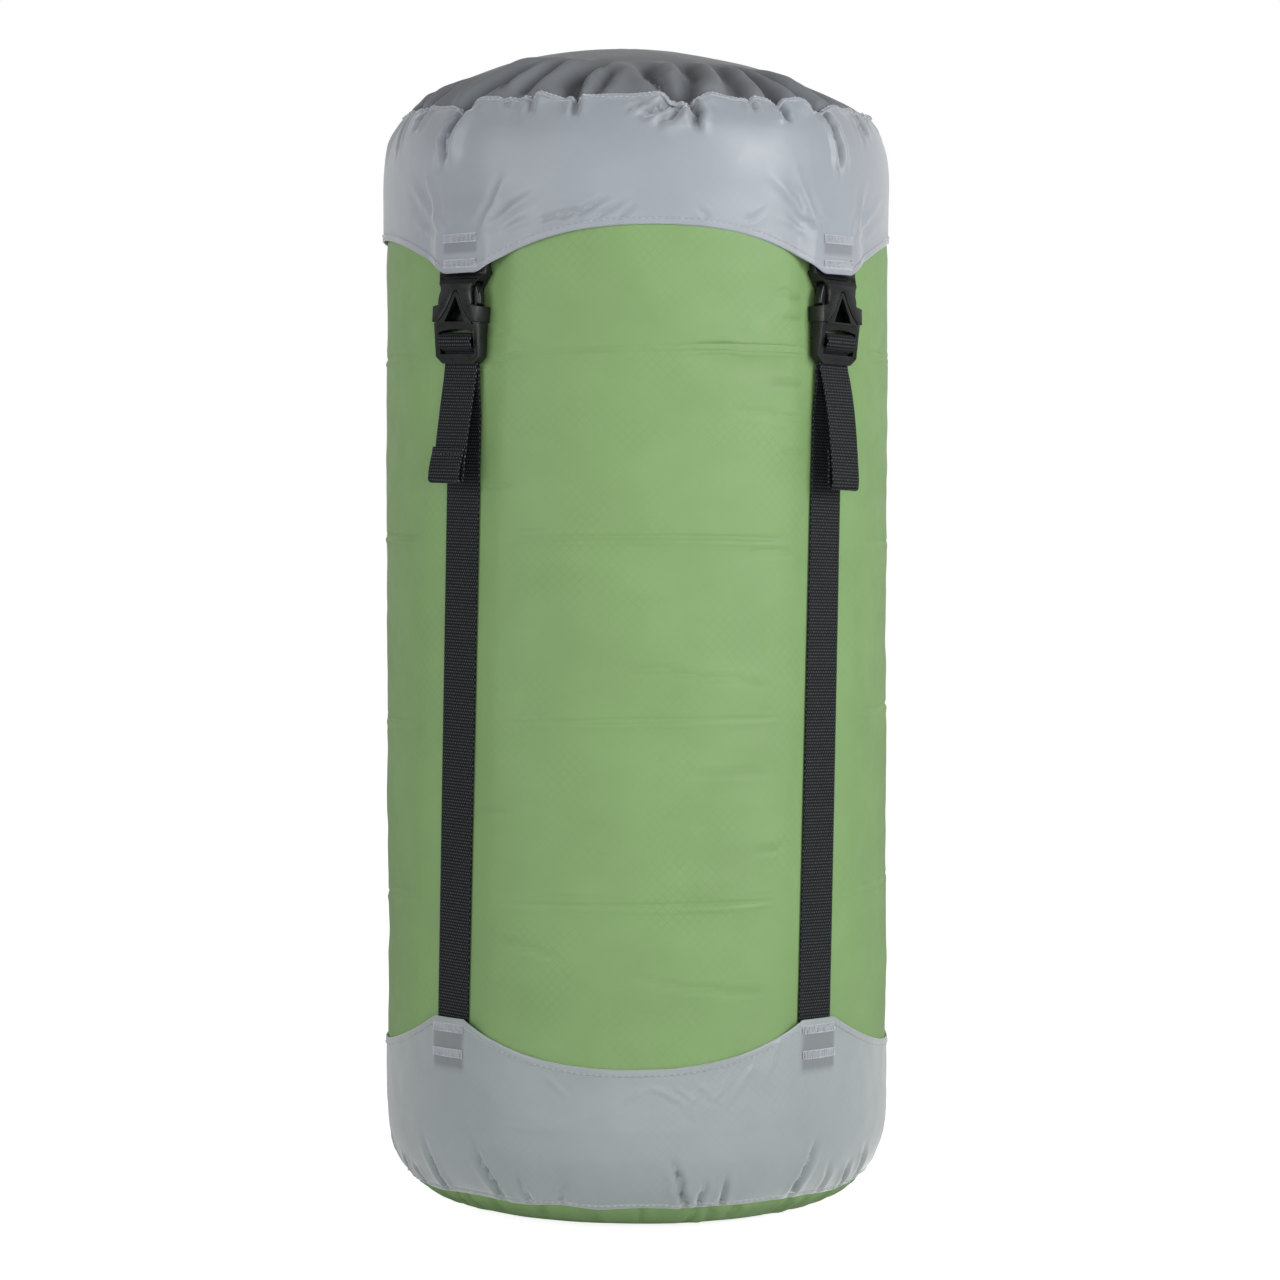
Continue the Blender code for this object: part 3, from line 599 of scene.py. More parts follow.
    def mesh(self, name, pole=None, plan=False, step=2):
        """A closed thin mesh: this fabric outside, and a lining of every step-th point inside."""
        rows, columns = self.points.shape[:2]
        kept = sorted(set(range(0, rows, step)) | {rows - 1})
        count, inner = len(kept), columns // step
        lining = (self.points - self.normals() * FABRIC)[kept][:, ::step]
        vertices = np.concatenate([self.points.reshape(-1, 3), lining.reshape(-1, 3)])
        first = rows * columns
        outside, inside = quads(rows, columns), quads(count, inner, flip=True)
        faces = numbered(outside, rows, columns) + numbered(inside, count, inner, first)
        marks = [corner for face in outside for corner in face]
        marks += [(kept[i], j * step) for face in inside for i, j in face]
        ends = [(0, 0, True)]
        if pole is None:
            ends.append((rows - 1, count - 1, False))
        else:
            apex = len(vertices)
            under = np.array(pole) - unit(self.normals()[-1].mean(axis=0)) * FABRIC
            vertices = np.concatenate([vertices, [pole], [under]])
            upper, lower = (rows - 1) * columns, first + (count - 1) * inner
            for j in range(columns):
                faces.append((upper + j, upper + (j + 1) % columns, apex))
                marks += [(rows - 1, j), (rows - 1, j + 1), (rows, j)]
            for j in range(inner):
                faces.append((lower + (j + 1) % inner, lower + j, apex + 1))
                marks += [(rows - 1, j * step + step), (rows - 1, j * step), (rows, j * step)]
        for row, inner_row, down in ends:
            for j in range(inner):
                rim = list(range(j * step, j * step + step + 1))[:: -1 if down else 1]
                pair = (j, j + 1) if down else (j + 1, j)
                faces.append([row * columns + k % columns for k in rim]
                             + [first + inner_row * inner + k % inner for k in pair])
                marks += [(row, k) for k in rim] + [(row, k * step) for k in pair]
        if plan:
            uvs = vertices[np.concatenate([np.array(face) for face in faces])][:, :2]
        else:
            row, column = np.array(marks).T
            along = np.append(self.along, self.along[-1])[row]
            uvs = np.stack([column * 2 * math.pi * SACK_RADIUS / columns, along], axis=1)
        mesh = mesh_of(name, vertices, faces, uvs)
        # The folds' painted shade goes to the material as a point attribute
        mark(mesh, "cavity", self.painted_shade)
        return mesh


def edge_band(name, rows, finish):
    """A closed band from rows of points, each row once round; the rows run round its section."""
    count, columns = len(rows), len(rows[0])
    corners = quads(count, columns, closed=True)
    uvs = [(j * 2 * math.pi * SACK_RADIUS / columns, i * 0.0006) for face in corners for i, j in face]
    return add_object(name, mesh_of(name, rows, numbered(corners, count, columns), uvs), finish)


def hem_rows(cloth, top, height, wave, seed):
    """The section of a folded hem along an edge of the fabric: out over the edge and back under it."""
    section = [(1.0, -0.30), (1.0, 0.45), (0.90, 0.92), (0.70, 0.98), (0.45, 0.90), (0.20, 0.98),
               (0.04, 0.80), (-0.06, 0.30), (-0.06, -0.45), (0.06, -0.95), (0.40, -1.0), (0.80, -0.9)]
    rows = []
    for inward, out in section:
        spot, normal = cloth.line(inward * HEM_WIDTH, top)
        wobble = 1.0 + wave * noise_at(spot, 0.004, seed)
        rows.append(spot + normal * (out * height * wobble)[:, None])
    return rows if top else rows[::-1]


def stitches(name, line, normals, finish, slot, length=STITCH, gap=STITCH_GAP, radius=THREAD_RADIUS,
             height=0.0004, closed=True):
    """A seam of separate short stitches along a line of points."""
    if closed:
        line, normals = np.concatenate([line, line[:1]]), np.concatenate([normals, normals[:1]])
    reach = distances(line)
    count = int(reach[-1] / (length + gap))
    centres = (np.arange(count) + 0.5) * reach[-1] / count
    stray = np.random.RandomState(count).uniform(-1.0, 1.0, (2, count, 1)) * radius
    ahead = unit(read_at(line, reach, centres + 0.001) - read_at(line, reach, centres - 0.001))
    sides = rings = 5
    points = np.zeros((count, rings, sides, 3))
    for k, station in enumerate(np.linspace(-1.0, 1.0, rings)):
        at = centres + station * length / 2
        out = unit(read_at(normals, reach, at))
        side = unit(np.cross(ahead, out))
        thin = radius * math.sqrt(max(1.0 - (0.92 * station) ** 2, 0.05))
        middle = read_at(line, reach, at) + out * (height * (1.0 - 0.9 * station**2))
        middle = middle + side * (0.5 * stray[0] + 0.7 * stray[1] * station)
        for s, turn in enumerate(circle(sides)):
            points[:, k, s] = middle + out * (thin * math.sin(turn)) + side * (thin * math.cos(turn))
    faces = []
    for c in range(count):
        faces += tube_faces(rings, sides, c * rings * sides)
    return add_object(name, mesh_of(name, points, faces), finish)


def bar_tacks(name, cloth, heights, finish):
    """Dense zigzag rectangles of thread that hold each strap's end."""
    half, tall, zigzags = 0.0096, 0.0017, 27
    u = np.concatenate([np.repeat(np.linspace(-half, half, zigzags), 2), [half, half, -half, -half, half]])
    v = np.tile([-tall, tall, tall, -tall], zigzags // 2 + 1)[: 2 * zigzags]
    v = np.concatenate([v, [-tall, tall, tall, -tall, -tall]])
    fine = np.linspace(0, len(u) - 1.0, (len(u) - 1) * 2 + 1)
    u, v = (np.interp(fine, range(len(v)), a) for a in (u, v))
    vertices, faces = [], []
    for index in STRAPS:
        for z in heights:
            azimuth = strap_azimuth(index, z + v) + np.degrees(u / SACK_RADIUS)
            spot, out = cloth.at_height(azimuth, z + v)
            ring = tube(spot + out * 0.00028, out, THREAD_RADIUS, 5)
            faces += tube_faces(len(ring), 5, len(vertices))
            vertices += ring.reshape(-1, 3).tolist()
    return add_object(name, mesh_of(name, vertices, faces), finish)


def felled_seam(name, cloth, finish, thread, slot, first, last):
    """The back seam of a panel, at the first column: a flat-felled strip and its two rows of stitches."""
    half = 0.0037
    normals, points = cloth.normals()[first : last + 1, 0], cloth.points[first : last + 1]
    middle = (points[:, 0] + points[:, -1]) / 2
    side = unit(points[:, 0] - points[:, -1])
    section = [(-half, -0.0002), (-half, 0.0003), (-half + 0.0005, 0.0005), (0.0, 0.00042),
               (half - 0.0005, 0.00055), (half, 0.0003), (half, -0.0002)]
    rings = np.stack([middle + side * u + normals * w for u, w in section], axis=1)
    pieces = [add_object(name, solid(name, rings), finish)]
    for number, u in ((1, -half + 0.0011), (2, half - 0.0011)):
        pieces.append(stitches(f"{name}_stitches_{number}", middle + side * u, normals, thread, slot,
                               height=0.0006, closed=False))
    return pieces


# --- Webbing ---------------------------------------------------------------------------------


def webbing(name, centre, across, reach, finish, width=WEBBING_WIDTH, thickness=WEBBING):
    """Flat woven tape along a line of points, ribbed on both faces, with rounded selvages."""
    ahead = unit(np.gradient(centre, axis=0))
    across = unit(across - ahead * (across * ahead).sum(axis=-1, keepdims=True))
    out = np.cross(across, ahead)
    shares = np.concatenate([[-1.0, -0.985, -0.94], np.linspace(-0.86, 0.86, 11), [0.94, 0.985, 1.0]])
    edge = np.sqrt(np.clip(1 - (np.maximum(np.abs(shares) - 0.90, 0) / 0.10) ** 2, 0.0, 1.0))
    woven = RIB_DEPTH * (np.cos(2 * math.pi * reach / RIB_PITCH) - 1.0) / 2
    front = list(range(len(shares)))
    order = front + front[-2:0:-1]
    ring = []
    for place, i in enumerate(order):
        rise = thickness / 2 * edge[i] + woven * min(edge[i] * 1.2, 1.0)
        side = 1.0 if place < len(front) else -1.0
        ring.append(centre + across * (width / 2 * shares[i]) + out * (side * rise)[:, None])
    rings, sides = len(centre), len(order)
    corners = quads(rings, sides, flip=True)
    faces = numbered(corners, rings, sides)
    at = width / 2 * shares[order + order[:1]]
    uvs = [(at[s], reach[k]) for face in corners for k, s in face]
    faces += [list(range(sides)), [(rings - 1) * sides + s for s in range(sides)][::-1]]
    uvs += [(0.0, reach[0])] * sides + [(0.0, reach[-1])] * sides
    return add_object(name, mesh_of(name, np.stack(ring, axis=1), faces, uvs), finish)


def buckle_frame(index):
    """The buckle's own frame: u across, v up its length, w outwards, as a 4x4 matrix."""
    sideways = STRAP_RADIUS * math.radians(TWIST_LID_DEG - TWIST_BASE_DEG)
    lean = math.atan2(sideways, TWIST_TO_Z - TWIST_FROM_Z)
    turn = Matrix.Rotation(math.radians(float(strap_azimuth(index, BUCKLE_Z))), 4, "Z")
    spot = Matrix.Translation((0.0, -BUCKLE_RADIUS, BUCKLE_Z))
    pitch = Matrix.Rotation(math.radians(-BUCKLE_PITCH_DEG), 4, "X")
    axes = Matrix(((1, 0, 0, 0), (0, 0, -1, 0), (0, 1, 0, 0), (0, 0, 0, 1)))
    return turn @ spot @ Matrix.Rotation(lean, 4, "Y") @ pitch @ axes


def in_frame(matrix, uvw):
    """Points of a buckle's frame in the sack's."""
    m = np.array(matrix)
    return np.asarray(uvw, float) @ m[:3, :3].T + m[:3, 3]


def strap_run(index, finish):
    """The standing part of a strap, flat on the bag from under the bottom band up to its buckle."""
    heights = np.linspace(STRAP_FOOT_Z, 0.356, 40)
    low = polar(strap_azimuth(index, heights), STRAP_RADIUS, heights)
    top = in_frame(buckle_frame(index), [(0.0, -0.008, RUN_W), (0.0, RUN_TOP_V, RUN_W)])
    centre, reach = evenly(np.concatenate([low, top]), WEB_STEP)
    across = polar(strap_azimuth(index, centre[:, 2]) + 90.0, 1.0, 0.0)
    run = webbing(f"strap_{index + 1}", centre, across, reach, finish)
    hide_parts(f"strap_run_{index + 1}")
    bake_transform(run)


TAIL_HANG = {
    # how proud it hangs, its sway, its turn in degrees, and whether its end is folded behind
    0: (0.80, 0.0006, -3.0, True),
    1: (1.0, -0.0010, -4.0, False),
    2: (0.85, 0.0014, 3.0, True),
    3: (1.12, -0.0004, 3.0, False),
}
TAIL_SHAPE = {
    # folded behind or not: down the tail, round the fold with its middle, and back up, as v and w
    True: ([(-0.0020, 0.0030), (-0.006, 0.0042), (-0.015, 0.0064), (-0.025, 0.0080), (-0.0345, 0.0090),
            (-0.043, 0.0096), (-0.0530, 0.0099)], range(30, 151, 30), (-0.0532, 0.0086),
           [(-0.0520, 0.0071), (-0.0450, 0.0074), (-0.0400, 0.0072), (-0.0375, 0.0070)]),
    False: ([(-0.0020, TAIL_W), (-0.006, 0.0028), (-0.015, 0.0038), (-0.025, 0.0048), (-0.0345, 0.0057),
             (-0.043, 0.0063), (-0.0500, 0.0067)], range(150, 29, -30), (-0.0502, 0.0080),
            [(-0.0490, 0.0092), (-0.0430, 0.0085), (-0.0395, 0.0077), (-0.0365, 0.0073)]),
}
SEWING_V = (-0.0395, -0.0413)  # two rows of stitches across the folded end


def tail_path(behind):
    """A tail's centre line, v and w in the buckle's frame, with its end folded up and sewn."""

    def bend(middle, radius, degrees, side):
        turns = [math.radians(d) for d in degrees]
        return [(middle[0] + side * radius * math.sin(t), middle[1] + radius * math.cos(t)) for t in turns]

    down, fold, middle, up = TAIL_SHAPE[behind]
    path = [(-0.0016, RUN_W), (0.0030, RUN_W), (BAR_V - 0.0012, RUN_W)]
    path += bend((BAR_V, ROLL_W), ROLL_RADIUS, range(170, -61, -23), 1)
    path += [(0.0052, TAIL_W + 0.0002), (0.0040, TAIL_W)] + down
    return smooth_path(path + bend(middle, 0.0013, fold, -1) + up, WEB_STEP)


def strap_tail(index, finish, thread):
    """The strap's free end: round the buckle's bar, down in front, and folded up into a sewn pull."""
    proud, sway, turned, behind = TAIL_HANG[index]
    flat, reach = tail_path(behind)
    v = flat[:, 0]
    hang = smooth_step(0.004, -0.050, v)
    flat[:, 1] = np.where(v < 0.0, TAIL_W + (flat[:, 1] - TAIL_W) * proud, flat[:, 1])
    local = np.stack([sway * hang, v, flat[:, 1]], axis=1)
    tilt = np.radians(turned * hang)
    across = np.stack([np.cos(tilt), np.zeros(len(tilt)), np.sin(tilt)], axis=1)
    matrix = buckle_frame(index)
    spin = np.array(matrix)[:3, :3]
    tail = webbing(f"tail_{index + 1}", in_frame(matrix, local), across @ spin.T, reach, finish,
                   NARROW_WEBBING)
    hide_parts(f"strap_tail_{index + 1}")
    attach(tail, "harness")
    for number, level in enumerate(SEWING_V):
        if behind:
            row = np.where(flat[:, 1] > 0.0050, np.abs(v - level), 1.0).argmin()
        else:
            row = len(v) - 1 - np.abs(v[::-1] - level).argmin()
        line = in_frame(matrix, local[row] + across[row] * np.linspace(-0.0088, 0.0088, 24)[:, None])
        out = np.cross(across[row], local[row] - local[row - 1]) * (-1.0 if behind else 1.0)
        outs = np.tile(unit(out @ spin.T), (24, 1))
        sewn = stitches(f"tail_{index + 1}_sewing_{number + 1}", line, outs, thread, "black_webbing",
                        length=0.0017, gap=0.0004, height=0.0008, closed=False)
        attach(sewn, "harness")


# v and w in the buckle's frame: down behind, through its slot, and up in front
TAB_PATH = [(0.0620, 0.00105), (0.0540, 0.0004), (0.0485, 0.00005), (0.04375, -0.00005), (0.04285, 0.00055),
            (0.04255, 0.0026), (0.04285, 0.00465), (0.04375, 0.00525), (0.0485, 0.00485), (0.0540, 0.0032),
            (0.0620, 0.0029)]


def lid_tab(index, finish):
    """The loop of webbing sewn under the lid, through the buckle's slot."""
    flat, reach = smooth_path(TAB_PATH, WEB_STEP)
    matrix = buckle_frame(index)
    centre = in_frame(matrix, np.stack([np.zeros(len(flat)), flat[:, 0], flat[:, 1]], axis=1))
    across = np.tile(np.array(matrix)[:3, 0], (len(flat), 1))
    tab = webbing(f"tab_{index + 1}", centre, across, reach, finish, NARROW_WEBBING, THIN_WEBBING)
    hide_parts(f"lid_tab_{index + 1}")
    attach(tab, "lid")


def base_height(radius):
    return table([(r, z) for r, z in BASE_PROFILE[::-1]], radius)


def haul_handle(finish):
    """The hauling handle, a band of webbing lying across under the base."""
    right = polar(HANDLE_RIGHT_DEG, HANDLE_END_RADIUS, 0.0)
    left = polar(HANDLE_LEFT_DEG, HANDLE_END_RADIUS, 0.0)
    middle, along = (right + left) / 2, (right - left) / 2
    centre = middle + along * np.linspace(-1.0, 1.0, 160)[:, None]
    radius = radius_of(centre)
    rise = (base_height(radius + 0.0005) - base_height(radius - 0.0005)) / 0.001
    proud = HANDLE_PROUD / np.sqrt(1 + rise**2)
    centre[:, :2] *= ((radius + proud * rise) / radius)[:, None]
    centre[:, 2] = np.maximum(base_height(radius) - proud, 0.0008)
    centre, reach = evenly(centre, WEB_STEP)
    side = np.cross((0.0, 0.0, 1.0), unit(along))
    handle = webbing("handle", centre, np.tile(side, (len(centre), 1)), reach, finish)
    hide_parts("haul_handle")
    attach(handle, "sack")


# --- Buckles and cord lock -------------------------------------------------------------------

# Where the male is cut across, so that its window's top edge can be arched
LADDER_CUTS = (-0.0075, -0.0045, -0.0015, 0.0015, 0.0045, 0.0075)


def moulded(name, node, finish, body, width, shape=None, matrix=None, cuts=()):
    """A CAD part with its edges rounded as moulded plastic is, and its sections shaped in its own frame."""
    made = bmesh.new()
    made.from_mesh(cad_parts[node].data)
    bmesh.ops.remove_doubles(made, verts=made.verts, dist=0.00001)
    bmesh.ops.dissolve_limit(made, angle_limit=math.radians(1.0), verts=made.verts, edges=made.edges)
    for u in cuts:
        everything = made.verts[:] + made.edges[:] + made.faces[:]
        across = matrix.to_3x3() @ Vector((1, 0, 0))
        bmesh.ops.bisect_plane(made, geom=everything, plane_co=matrix @ Vector((u, 0, 0)), plane_no=across)
    mesh = bpy.data.meshes.new(name)
    made.to_mesh(mesh)
    made.free()
    if shape is not None:
        local = np.array([matrix.inverted() @ v.co for v in mesh.vertices])
        mesh.vertices.foreach_set("co", in_frame(matrix, shape(*local.T)).astype(np.float32).ravel())
    obj = add_object(name, mesh, finish)
    bevel = obj.modifiers.new("bevel", "BEVEL")
    bevel.width, bevel.segments = width, 3
    bevel.limit_method, bevel.angle_limit = "ANGLE", math.radians(28.0)
    smoothed(mesh)
    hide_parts(node)
    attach(obj, body)


def shell_section(u, v, w):
    """The female's front face is narrower than its back, with a slight crown along its length."""
    front = smooth_step(0.0030, 0.0083, w)
    lower = 1 - smooth_step(0.0250, 0.0300, v)
    crown = 0.0007 * smooth_step(0.030, 0.046, v) * front
    return np.stack([u * (1 - (0.07 - 0.04 * lower) * front), v, w - crown], axis=1)


def ladder_section(u, v, w):
    """The male's front slopes down to its lower bar, and its window has an arched top above the roll."""
    drop = np.where((w > 0.0050) & (v < 0.0175), 0.0026 * (0.0174 - v) / 0.0174, 0.0)
    top_edge = (np.abs(v - 0.0156) < 0.0002) & (np.abs(u) < 0.0106)
    arch = 0.0149 - 0.0014 * (u / 0.0104) ** 2
    raised = np.where(np.abs(v - 0.0174) < 0.0001, 0.0178, np.where(top_edge, arch, v))
    return np.stack([u * np.where(v < 0.0010, 0.93, 1.0), raised, w - drop], axis=1)


def buckles(finish):
    for index in STRAPS:
        k, matrix = index + 1, buckle_frame(index)
        moulded(f"male_{k}", f"buckle_male_{k}", finish, "harness", 0.0006, ladder_section, matrix,
                LADDER_CUTS)
        moulded(f"female_{k}", f"buckle_female_{k}", finish, "lid", 0.0008, shell_section, matrix)
        for hand in ("left", "right"):
            moulded(f"prong_{hand}_{k}_arm", f"prong_{hand}_{k}", finish, f"catch_{hand}_{k}", 0.0009)


def cord_lock(plastic, steel):
    """The barrel, the button, and the coil spring, which is not made to shorten when the button is pressed.
    """
    moulded("lock_barrel", "cord_lock_barrel", plastic, "harness", 0.0006)
    moulded("lock_top", "cord_lock_button", plastic, "lock_button", 0.0006)
    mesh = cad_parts["cord_lock_spring"].data.copy()
    mesh.materials.clear()
    spring = add_object("lock_spring", smoothed(mesh), steel)
    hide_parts("cord_lock_spring")
    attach(spring, "harness")
    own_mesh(spring)


# --- Lid -------------------------------------------------------------------------------------


def dome_height(radius, turn=0.0):
    """The lid's top, fuller on the left than on the right."""
    power = DOME_POWER + DOME_POWER_TILT * np.sin(turn)
    return DOME_BASE_Z + DOME_RISE * (1 - (radius / DOME_RADIUS) ** 2) ** power


def settled(obj, pins, pressure, frames):
    """Where the vertices end up after a cloth simulation with air pressure inside."""
    group = obj.vertex_groups.new(name="pins")
    for index, weight in pins:
        group.add([int(index)], float(weight), "REPLACE")
    modifier = obj.modifiers.new("cloth", "CLOTH")
    cloth = modifier.settings
    cloth.quality, cloth.mass = 6, 0.3
    cloth.tension_stiffness, cloth.compression_stiffness = 60.0, 30.0
    cloth.shear_stiffness, cloth.bending_stiffness = 10.0, 0.08
    cloth.tension_damping = cloth.compression_damping = cloth.shear_damping = 5.0
    cloth.bending_damping, cloth.air_damping = 0.5, 3.0
    cloth.use_pressure, cloth.uniform_pressure_force = True, pressure
    cloth.vertex_group_mass, cloth.pin_stiffness = "pins", 1.0
    cloth.effector_weights.gravity = 0.0
    modifier.collision_settings.use_collision = False
    modifier.point_cache.frame_start, modifier.point_cache.frame_end = 1, frames
    scene = bpy.context.scene
    for number in range(1, frames + 1):
        scene.frame_set(number)
    evaluated = obj.evaluated_get(bpy.context.evaluated_depsgraph_get())
    places = np.zeros(len(evaluated.data.vertices) * 3, np.float32)
    evaluated.data.vertices.foreach_get("co", places)
    scene.frame_set(1)
    return places.reshape(-1, 3).astype(float)


def blurred(field, across, along):
    """A field over the fabric, smoothed over about this many columns and rows."""

    def weights(size):
        away = np.arange(-int(size * 3), int(size * 3) + 1)
        share = np.exp(-0.5 * (away / size) ** 2)
        return list(zip(away, share / share.sum()))

    field = sum(w * np.roll(field, k, axis=1) for k, w in weights(across))
    reach = int(along * 3)
    padded = np.pad(field, [(reach, reach), (0, 0), (0, 0)], mode="edge")
    return sum(w * padded[k + reach : k + reach + len(field)] for k, w in weights(along))


def lid_cloth():
    """The lid's fabric: the skirt's rows, the seam's row and the dome's rows up to its middle."""
    profile = LID_PROFILE + [(r, float(dome_height(r))) for r in np.linspace(0.1043, 0.004, 60)]
    points, reach = along_curve(profile, 900)
    seam_at = float(reach[np.linalg.norm(points - np.array(LID_PROFILE[-1]), axis=1).argmin()])
    below = np.linspace(0.0, seam_at, int(seam_at / LID_STEP), endpoint=False)
    above = np.linspace(seam_at, reach[-1], int((reach[-1] - seam_at) / LID_STEP))
    at = np.concatenate([below, above])
    offset = from_strap(column_degrees(LID_COLUMNS))
    hem = SKIRT_HEM_HIGH_Z - (SKIRT_HEM_HIGH_Z - SKIRT_HEM_LOW_Z) * scallop(offset)
    foot_r, foot_z = LID_PROFILE[0]
    bulge = 0.0024 * (1 - smooth_step(7.0, 12.0, np.abs(offset)))
    radii = [foot_r + bulge] * LID_HEM_ROWS
    heights = [hem + (foot_z - hem) * i / LID_HEM_ROWS for i in range(LID_HEM_ROWS)]
    radii += [np.interp(a, reach, points[:, 0]) + bulge * (1 - smooth_step(0.0, 0.016, a)) for a in at]
    heights += [np.interp(a, reach, points[:, 1]) for a in at]
    hem_along = [-seam_at - 0.0035 * (LID_HEM_ROWS - i) for i in range(LID_HEM_ROWS)]
    cloth = Cloth.turned(LID_COLUMNS, radii, heights, hem_along + list(at - seam_at))
    seam_row = LID_HEM_ROWS + len(below)
    dome = cloth.points[seam_row + 1 :]
    radius, turn = radius_of(dome), np.arctan2(dome[..., 0], -dome[..., 1])
    dome[..., 2] += dome_height(radius, turn) - dome_height(radius)
    pole = np.array([0.0, 0.0, float(dome_height(0.0))])
    inflate(cloth, pole)
    return cloth, seam_row, pole


def inflate(cloth, pole):
    """Adds the small wrinkles of a simulation in which the sack's filling pushes the lid out."""
    rows, columns = cloth.points.shape[:2]
    faces = numbered(quads(rows, columns), rows, columns)
    last = (rows - 1) * columns
    faces += [(last + j, last + (j + 1) % columns, rows * columns) for j in range(columns)]
    uneven = np.random.RandomState(7).uniform(-0.0004, 0.0004, (rows, columns))
    start = cloth.points + cloth.normals() * uneven[..., None]
    obj = linked(bpy.data.objects.new("lid_before", mesh_of(
        "lid_before", np.concatenate([start.reshape(-1, 3), [pole]]), faces)))
    tips = np.flatnonzero(np.abs(cloth.from_strap()) < 5.5)
    pins = [(i * columns + j, 1.0) for i in range(LID_HEM_ROWS + 1) for j in tips]
    pins += [(j, 0.15) for j in range(columns) if j not in set(tips)]
    places = settled(obj, pins, pressure=40.0, frames=16)[:-1]
    moved = places.reshape(cloth.points.shape) - cloth.points
    bpy.data.objects.remove(obj, do_unlink=True)
    wrinkles = blurred(moved, 1.3, 1.2) - blurred(moved, 7.0, 5.0)
    along = cloth.along[:, None, None]
    share = np.where(along < 0, 0.16 + 0.22 * np.exp(-((along / 0.012) ** 2)), 0.62)
    cloth.points = cloth.points + wrinkles * share


# Folds: a path of azimuths and mm above the seam, a width and depth in mm, and perhaps a softness
LID_FOLDS = [
    ([(-45, 1), (-46.4, -12), (-48.6, -33)], 1.3, 5.2, 2.4),
    ([(49, 1), (50, -14), (50.9, -37)], 1.2, 4.4, 1.7),
    ([(-14.1, 1), (-14, -11)], 1.3, 2.8, 1.3),
    ([(10, 1), (5, -6), (-1, -12)], 1.5, 3.4, 1.6),
    ([(11, -1), (8.5, -9), (3, -17)], 1.4, 2.6, 1.4),
    ([(12.5, 1), (13.6, -9), (12.8, -18)], 1.5, 3.8, -1.6),
    ([(3, -4), (-3, -8)], 1.2, 1.4),
    ([(34.6, 1), (36.2, -12)], 1.4, 3, 1.3),
    ([(27, 1), (28, -7)], 1.2, 1.6),
    ([(-24.6, 1), (-24.9, -8)], 1.6, 2),
    ([(-33, 1), (-31, -6)], 1.2, 1.2),
    ([(-60, 1), (-62, -12)], 1.6, 2.2),
    ([(66, 1), (64, -15)], 1.6, 2),
    ([(-15.5, 0), (-16.5, 15), (-10.5, 46)], 3.7, 4.6, -1.5),
    ([(-10, 0), (-7, 31)], 2.7, 2.7),
    ([(9.6, 0), (4, 18), (2, 41)], 3.7, 4.6, 1.4),
    ([(12, 0), (16, 20), (17, 46)], 3.9, 4, -1.5),
    ([(-46, 0), (-40, 23), (-35, 54)], 3.7, 4.8, 1.5),
    ([(-30, 3), (-23, 49)], 3.2, 2.5),
    ([(-37, 5), (-30, 49)], 2.9, 1.9),
    ([(49, 0), (46, 20), (45, 49)], 3.7, 4.4, -1.4),
    ([(35, 0), (37, 26), (34, 49)], 3.4, 3.2),
    ([(25, 0), (29, 44)], 3.4, 2.7, -1.3),
    ([(60, 0), (56, 36)], 3.2, 2.3),
]
# Dips of the seam: azimuth, depth in mm and half width in degrees
SEAM_DIPS = [(-45.6, 4.0, 3.2), (-14.0, 1.4, 2.4), (9.5, 3.0, 5.0), (34.8, 1.4, 2.2), (49.2, 3.4, 3.0)]
# The same, in degrees from a strap: up the skirt from the corners of its bar tack
STRAP_TIP_FOLDS = [
    ([(-5.2, -60), (-8, -52), (-13.5, -26)], 1.7, -1.1),
    ([(-7.5, -57), (-14, -44), (-21, -33)], 1.9, -0.9),
    ([(-9, -61), (-18, -53)], 1.5, -0.6),
    ([(5.4, -60), (9, -49), (13, -31)], 1.6, -1),
    ([(6.5, -60), (14, -50), (23, -40)], 1.8, -0.9),
    ([(9.5, -62), (19, -55)], 1.4, -0.5),
]
# The same: short wrinkles that rise from the hem's arch at the front
HEM_FOLDS = [
    ([(-21, -57), (-13, -50)], 1, 0.9),
    ([(-17, -56), (-8, -47)], 1.1, 1.1),
    ([(-13, -54.5), (-5.5, -44)], 1.1, 1.1),
    ([(-9, -56), (-2.5, -47)], 1, 0.9),
    ([(-4, -55), (1, -48)], 1, 0.7),
    ([(16, -56), (12, -49)], 1, 0.6),
    ([(24, -57), (30, -49)], 1.1, 0.7),
]


